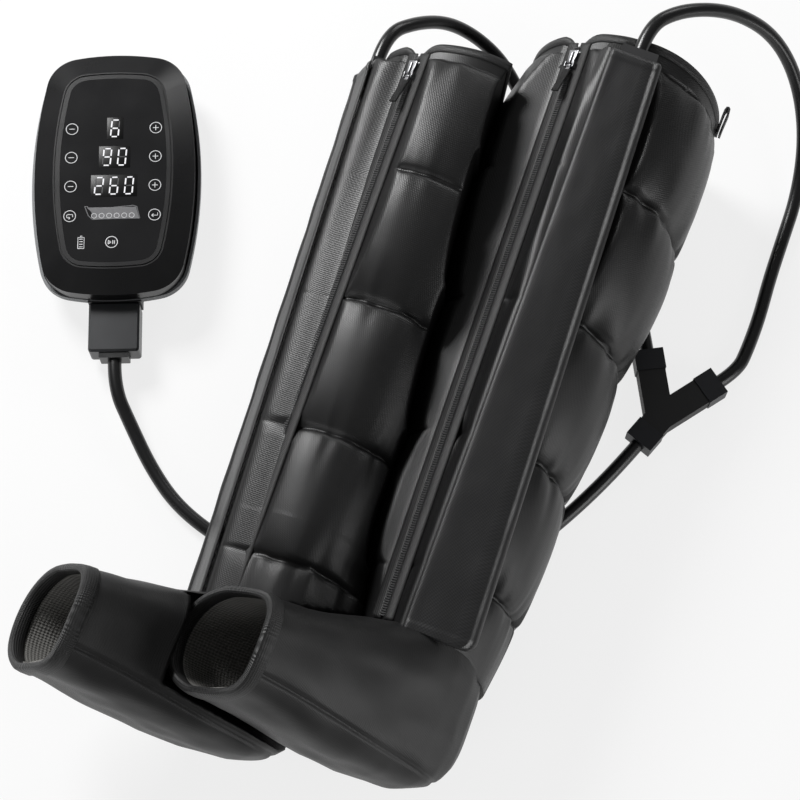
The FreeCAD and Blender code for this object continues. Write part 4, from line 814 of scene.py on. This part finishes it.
def shaped_box(name, size, finish, bevel=0.0008, taper=1.0):
    """A block about the origin, narrowed at its low end, with rounded edges."""
    clear()
    bpy.ops.mesh.primitive_cube_add(size=1)
    block = bpy.context.object
    block.name = name
    block.scale = size
    bpy.ops.object.transform_apply(location=True, rotation=True, scale=True)
    for vertex in block.data.vertices:
        vertex.select = vertex.co.y < 0
    for part in list(block.data.edges) + list(block.data.polygons):
        part.select = False
    bpy.ops.object.mode_set(mode="EDIT")
    bpy.ops.mesh.select_mode(type="VERT")
    bpy.ops.transform.resize(value=(taper, 1, 1), center_override=(0, 0, 0))
    bpy.ops.mesh.select_all(action="SELECT")
    bpy.ops.mesh.bevel(offset=bevel, segments=3, affect="EDGES")
    bpy.ops.object.mode_set(mode="OBJECT")
    block.data.materials.append(finish)
    bpy.ops.object.shade_smooth_by_angle(angle=math.radians(40))
    return block


def put(piece, matrix):
    piece.data.transform(matrix)
    piece.data.update()
    return piece


def make_slider(side):
    place, long = STRIPS[side]["zip"]
    here = Matrix.Translation(BOOTS[side]) @ place @ Matrix.Translation((0, long - 0.016, 0))
    parts = [put(shaped_box(f"{side}_slider_top", (0.0108, 0.0138, 0.0016), METAL, 0.0006, 0.66),
                 here @ Matrix.Translation((0, 0, 0.0040))),
             put(shaped_box(f"{side}_slider_base", (0.0108, 0.0138, 0.0010), METAL, 0.0003, 0.66),
                 here @ Matrix.Translation((0, 0, 0.0008))),
             put(shaped_box(f"{side}_slider_bridge", (0.0030, 0.0118, 0.0030), METAL, 0.0012, 0.8),
                 here @ Matrix.Translation((0, -0.001, 0.0052)))]
    for x in (-1, 1):
        parts.append(put(shaped_box(f"{side}_slider_cheek_{x + 1}", (0.0013, 0.0060, 0.0034), METAL, 0.0004),
                         here @ Matrix.Translation((x * 0.0048, -0.0077, 0.0044))))
    clear()
    bpy.ops.mesh.primitive_cylinder_add(vertices=20, radius=0.0008, depth=0.0100, rotation=(0, math.radians(90), 0))
    pin = bpy.context.object
    bpy.ops.object.transform_apply(location=True, rotation=True, scale=True)
    pin.data.materials.append(METAL)
    pin.name = f"{side}_slider_pin"
    put(pin, here @ Matrix.Translation(PIN))
    parts.append(pin)
    for part in parts:
        settle(part, f"{side}_zip_runner", [f"{side}_zip_slider"])
    hang = here @ Matrix.Translation(PIN) @ Matrix.Rotation(-PULL_LIFT, 4, "X")
    tab = put(shaped_box(f"{side}_pull_tab", (0.0084, 0.0262, 0.0019), PULL_CLOTH, 0.0006, 0.94),
              hang @ Matrix.Translation((0, -0.0172, 0)))
    neck = put(shaped_box(f"{side}_pull_neck", (0.0048, 0.0070, 0.0014), METAL, 0.0005, 0.8),
               hang @ Matrix.Translation((0, -0.0042, 0)))
    clear()
    bpy.ops.mesh.primitive_torus_add(major_radius=0.00130, minor_radius=0.00048, major_segments=24, minor_segments=10,
                                     rotation=(0, math.radians(90), 0))
    eye = bpy.context.object
    bpy.ops.object.transform_apply(location=True, rotation=True, scale=True)
    for vertex in eye.data.vertices:
        vertex.co.x *= 5.5
    eye.name = f"{side}_pull_eye"
    eye.data.materials.append(METAL)
    bpy.ops.object.shade_smooth()
    put(eye, hang)
    for part in (tab, neck, eye):
        settle(part, f"{side}_zip_tab", [f"{side}_zip_pull"])


def make_flap(side):
    """The cover over the air tubes: cloth with a welt along its free edge and a hem at its top."""
    place, long = STRIPS[side]["flap"]
    long -= 0.002
    hand = FLAPS[side][1]
    across = [0.0, 0.02, 0.05, 0.12, 0.2, 0.3, 0.4, 0.5, 0.6, 0.7, 0.78]
    steps, y = [], 0.0
    while y < long:
        steps.append(y)
        y += 0.0006 if y < 0.003 or y > long - 0.003 else 0.0016 if y < 0.014 or y > long - 0.014 else 0.0032
    steps.append(long)
    rows = []
    for y in steps:
        wide = mix(0.064, 0.047, y / long)
        for end, corner in ((y, 0.011), (long - y, 0.005)):
            if end < corner:
                wide -= corner - math.sqrt(max(0.0, corner ** 2 - (corner - end) ** 2))
        edge = min(1.0, min(y, long - y) / 0.0022)
        hem = 0.0007 * ease(0.010, 0.008, long - y) + 0.0006 * ease(0.010, 0.008, y)
        top = [(t * (wide - 0.0085), 0.0036) for t in across]
        top += [(wide - 0.0085 + d, z) for d, z in (
            (0.0, 0.0036), (0.0012, 0.0031), (0.0022, 0.0046), (0.0038, 0.0054), (0.0056, 0.0054), (0.0072, 0.0044),
            (0.0084, 0.0026))]
        top[0] = (-0.0012, 0.0018)
        top[1] = (-0.0002, 0.0030)
        under = [(wide - 0.0010, 0.0004), (wide * 0.7, 0.0002), (wide * 0.4, 0.0002), (wide * 0.1, 0.0002),
                 (0.0, 0.0006)]
        row = []
        for number, (x, z) in enumerate(top + under):
            if number < len(top):
                wave = 0.0011 * noise.noise((x * 26, y * 9, 5.0)) + 0.0006 * noise.noise((x * 60, y * 34, 9.0))
                z = 0.0018 + (z - 0.0018 + hem + wave * ease(0.0, 0.006, x)) * edge if z > 0.0018 else z
            row.append(on_strip(side, "flap", hand * x, y, z))
        rows.append(row)
    piece = skin(f"{side}_flap_cover", rows, [FLAP_CLOTH], caps=True, spacing=0.0034)
    return settle(piece, f"{side}_flap", [f"{side}_hose_flap"])


def make_loop(side, degrees):
    """A folded webbing tab sewn to the rim."""
    out = outward_way(degrees)
    across = Vector((0, 1, 0)).cross(out)
    seat = BOOTS[side] + Vector((0, RIM, axis_height(RIM))) + out * 0.0925
    middle = [(-0.013, 0.0010), (-0.004, 0.0011), (0.006, 0.0013), (0.012, 0.0017), (0.0148, 0.0027),
              (0.0150, 0.0040), (0.0138, 0.0050), (0.010, 0.0054), (0.004, 0.0050), (-0.004, 0.0044),
              (-0.013, 0.0040)]
    rows = []
    for n, (y, z) in enumerate(middle):
        before, after = middle[max(0, n - 1)], middle[min(len(middle) - 1, n + 1)]
        run = Vector((after[0] - before[0], after[1] - before[1])).normalized()
        side_way = Vector((0, 1, 0)) * -run.y + out * run.x
        centre = seat + Vector((0, 1, 0)) * y + out * z
        rows.append([centre + across * w + side_way * t for w, t in (
            (-0.0060, -0.0007), (-0.0056, -0.0010), (0.0056, -0.0010), (0.0060, -0.0007), (0.0060, 0.0007),
            (0.0056, 0.0010), (0.0020, 0.0011), (-0.0020, 0.0011), (-0.0056, 0.0010), (-0.0060, 0.0007))])
    piece = skin(f"{side}_webbing_loop", rows, [WEBBING], caps=True, spacing=0.0012)
    return settle(piece, ROOT, [f"{side}_hang_loop"])


for boot in BOOTS:
    make_leg(boot)
    make_hem(boot)
    make_foot(boot)
    make_binding(boot)
    make_zip_tape(boot)
    make_slider(boot)
    make_flap(boot)
make_loop("front", 2)
make_loop("rear", 205)


# ---------------------------------------------------------------- controller's face
CASE = Matrix.Rotation(CASE_TURN, 4, "Z")
ROWS = {"mode": 0.0413, "time": 0.0115, "pressure": -0.0183}
COLUMN = 0.040


def strokes(name, lines, wide, finish, body, flat=0.35):
    """Printed or lit strokes that stand a hair proud of the face; lines are lists of points on it, in metres."""
    data = bpy.data.curves.new(name, "CURVE")
    data.dimensions = "3D"
    data.bevel_depth = wide / 2
    data.bevel_resolution = 2
    data.use_fill_caps = True
    for line in lines:
        spline = data.splines.new("POLY")
        spline.points.add(len(line) - 1)
        for point, (x, y) in zip(spline.points, line):
            point.co = (x, y, 0, 1)
    drawn = bpy.data.objects.new(name, data)
    bpy.context.scene.collection.objects.link(drawn)
    clear()
    drawn.select_set(True)
    bpy.context.view_layer.objects.active = drawn
    bpy.ops.object.convert(target="MESH")
    drawn = bpy.context.object
    drawn.data.materials.append(finish)
    drawn.data.transform(CASE @ Matrix.Translation((0, 0, LID_TOP + 0.00004)) @ Matrix.Diagonal((1, 1, flat, 1)))
    bpy.ops.object.shade_smooth()
    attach(drawn, body)
    return drawn


def arc(x, y, radius, start=0, stop=360, steps=40):
    return [(x + radius * math.cos(math.radians(mix(start, stop, n / steps))),
             y + radius * math.sin(math.radians(mix(start, stop, n / steps)))) for n in range(steps + 1)]


def make_key_signs():
    for name, row in ROWS.items():
        for word, x in (("minus", -COLUMN), ("plus", COLUMN)):
            body = f"{name}_{word}_button"
            lines = [arc(x, row, KEY_RING), [(x - KEY_ARM, row), (x + KEY_ARM, row)]]
            if word == "plus":
                lines.append([(x, row - KEY_ARM), (x, row + KEY_ARM)])
            strokes(f"{name}_{word}_sign", lines, SIGN_LINE, INK_WITH_PAINTED_GLOW, body)
    x, y = -COLUMN, -0.0487
    strokes("position_sign", [
        arc(x, y, KEY_RING), [(x + 0.0002, y - 0.0019), (x - 0.0026, y - 0.0016), (x - 0.0029, y + 0.0010),
                            (x - 0.0012, y + 0.0017), (x + 0.0026, y + 0.0015), (x + 0.0029, y - 0.0009)],
        [(x - 0.0009, y - 0.0007), (x + 0.0003, y - 0.0019), (x - 0.0009, y - 0.0031)]],
        SIGN_LINE, INK_WITH_PAINTED_GLOW, "position_button")
    x = COLUMN
    strokes("confirm_sign", [
        arc(x, y, KEY_RING), [(x + 0.0029, y + 0.0020), (x + 0.0029, y - 0.0006), (x - 0.0024, y - 0.0006)],
        [(x - 0.0010, y + 0.0009), (x - 0.0027, y - 0.0006), (x - 0.0010, y - 0.0021)]],
        SIGN_LINE, INK_WITH_PAINTED_GLOW, "confirm_button")
    y = -0.0758
    strokes("start_pause_sign", [
        arc(0, y, KEY_RING)] + [[(x, y - 0.0018), (x, y + 0.0018)] for x in (0.0012, 0.0028)]
        + [[(-0.0031, y - k), (-0.0031, y + k), (-0.0004, y), (-0.0031, y - k)] for k in (0.0020, 0.0012)],
        0.00085, INK_WITH_PAINTED_GLOW, "start_pause_button")


SEGMENTS = {"a": ((-1, 2), (1, 2)), "b": ((1, 2), (1, 0)), "c": ((1, 0), (1, -2)), "d": ((-1, -2), (1, -2)),
            "e": ((-1, 0), (-1, -2)), "f": ((-1, 2), (-1, 0)), "g": ((-1, 0), (1, 0))}
SHOWN = {"0": "abcdef", "2": "abged", "6": "acdefg", "9": "abcdfg"}


def make_digits():
    """Three lit counters, each digit in its own dark window."""
    for name, text in (("mode", "6"), ("time", "90"), ("pressure", "260")):
        row = ROWS[name]
        lit, dim = [], []
        for place, digit in enumerate(text):
            middle = (place - (len(text) - 1) / 2) * DIGIT_PITCH + DIGIT_SHIFT
            for key, ends in SEGMENTS.items():
                (ax, ay), (bx, by) = [(px * 0.0036, py * 0.0043) for px, py in ends]
                short = 0.0011
                length = math.hypot(bx - ax, by - ay)
                ux, uy = (bx - ax) / length * short, (by - ay) / length * short
                line = [(middle + ax + ux + ay * 0.08 + uy * 0.08, row + ay + uy),
                        (middle + bx - ux + by * 0.08 - uy * 0.08, row + by - uy)]
                (lit if key in SHOWN[digit] else dim).append(line)
        wide = DIGIT_PITCH * len(text) + 0.0016
        window = shaped_box(f"{name}_window", (wide, 0.0228, 0.0006), WINDOW, 0.0002)
        put(window, CASE @ Matrix.Translation((DIGIT_SHIFT, row, LID_TOP - 0.00022)))
        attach(window, "controller")
        strokes(f"{name}_digits", lit, 0.0015, DIGIT, "controller")
        # The segments that are off carry a faint painted glow.
        strokes(f"{name}_off_segments_painted_glow", dim, 0.0013, OFF_SEGMENT_PAINTED_GLOW, "controller", 0.25)


def make_face_signs():
    top, bottom = -0.0425, -0.0535
    shape = [(-0.0260, -0.0392), (-0.0235, -0.0392), (-0.0215, -0.0425), (0.0195, -0.0388), (0.0232, -0.0400),
             (0.0262, -0.0515), (-0.0185, -0.0525), (-0.0225, -0.0485), (-0.0260, -0.0392)]
    strokes("boot_outline", [shape], 0.0008, DIM_INK_WITH_PAINTED_GLOW, "controller")
    fill = [[(mix(-0.0205, -0.0180, t) if t > 0.35 else -0.0235 + 0.010 * t, y), (0.0225 + 0.0032 * t, y)]
            for t, y in ((n / 12, mix(-0.0408, -0.0519, n / 12)) for n in range(13))]
    strokes("boot_fill", fill, 0.0010, DIM_INK_WITH_PAINTED_GLOW, "controller", 0.25)
    rings = [arc(-0.0170 + n * 0.0071, (top + bottom) / 2 - 0.0008, 0.0024, steps=20) for n in range(6)]
    strokes("chamber_signs", rings, 0.0006, INK_WITH_PAINTED_GLOW, "controller", 0.7)
    x, y = -0.0287, -0.0758
    frame_line = [(x - 0.0029, y - 0.0060), (x - 0.0029, y + 0.0052), (x + 0.0029, y + 0.0052),
                  (x + 0.0029, y - 0.0060), (x - 0.0029, y - 0.0060)]
    bars = [[(x - 0.0017, y + k), (x + 0.0017, y + k)] for k in (-0.0043, -0.0017, 0.0009, 0.0035)]
    strokes("battery_sign", [frame_line, [(x - 0.0011, y + 0.0064), (x + 0.0011, y + 0.0064)]] + bars, 0.0008, INK_WITH_PAINTED_GLOW,
            "controller")


make_key_signs()
make_digits()
make_face_signs()


# ---------------------------------------------------------------- finishes of the moulded parts
KEYS = ["mode_minus_key", "mode_plus_key", "time_minus_key", "time_plus_key", "pressure_minus_key",
        "pressure_plus_key", "position_key", "confirm_key", "start_pause_key"]
WORN = {"front_shell": BEZEL, "front_panel": PANEL, "rear_shell": SHELL_GREY, "display_module": WINDOW,
        "circuit_board": GREEN, "key_switches": DARK, "outlet_socket": DARK, "charge_port": DARK, "air_pump": DARK,
        "valve_block": DARK, "battery_pack": BLUE, "case_screws": STEEL, "base_pad": PAD, "plug_body": PLUG_GREY,
        "plug_collar": HOSE_RUBBER, "splitter_body": SPLIT_BLACK, "splitter_caps": CAP_BLACK,
        "front_manifold": DARK, "rear_manifold": DARK, "front_air_tubes": TUBE_RUBBER, "rear_air_tubes": TUBE_RUBBER}
WORN.update({key: PANEL for key in KEYS})
for node, finish in WORN.items():
    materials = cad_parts[node].data.materials
    materials.clear()
    materials.append(finish)
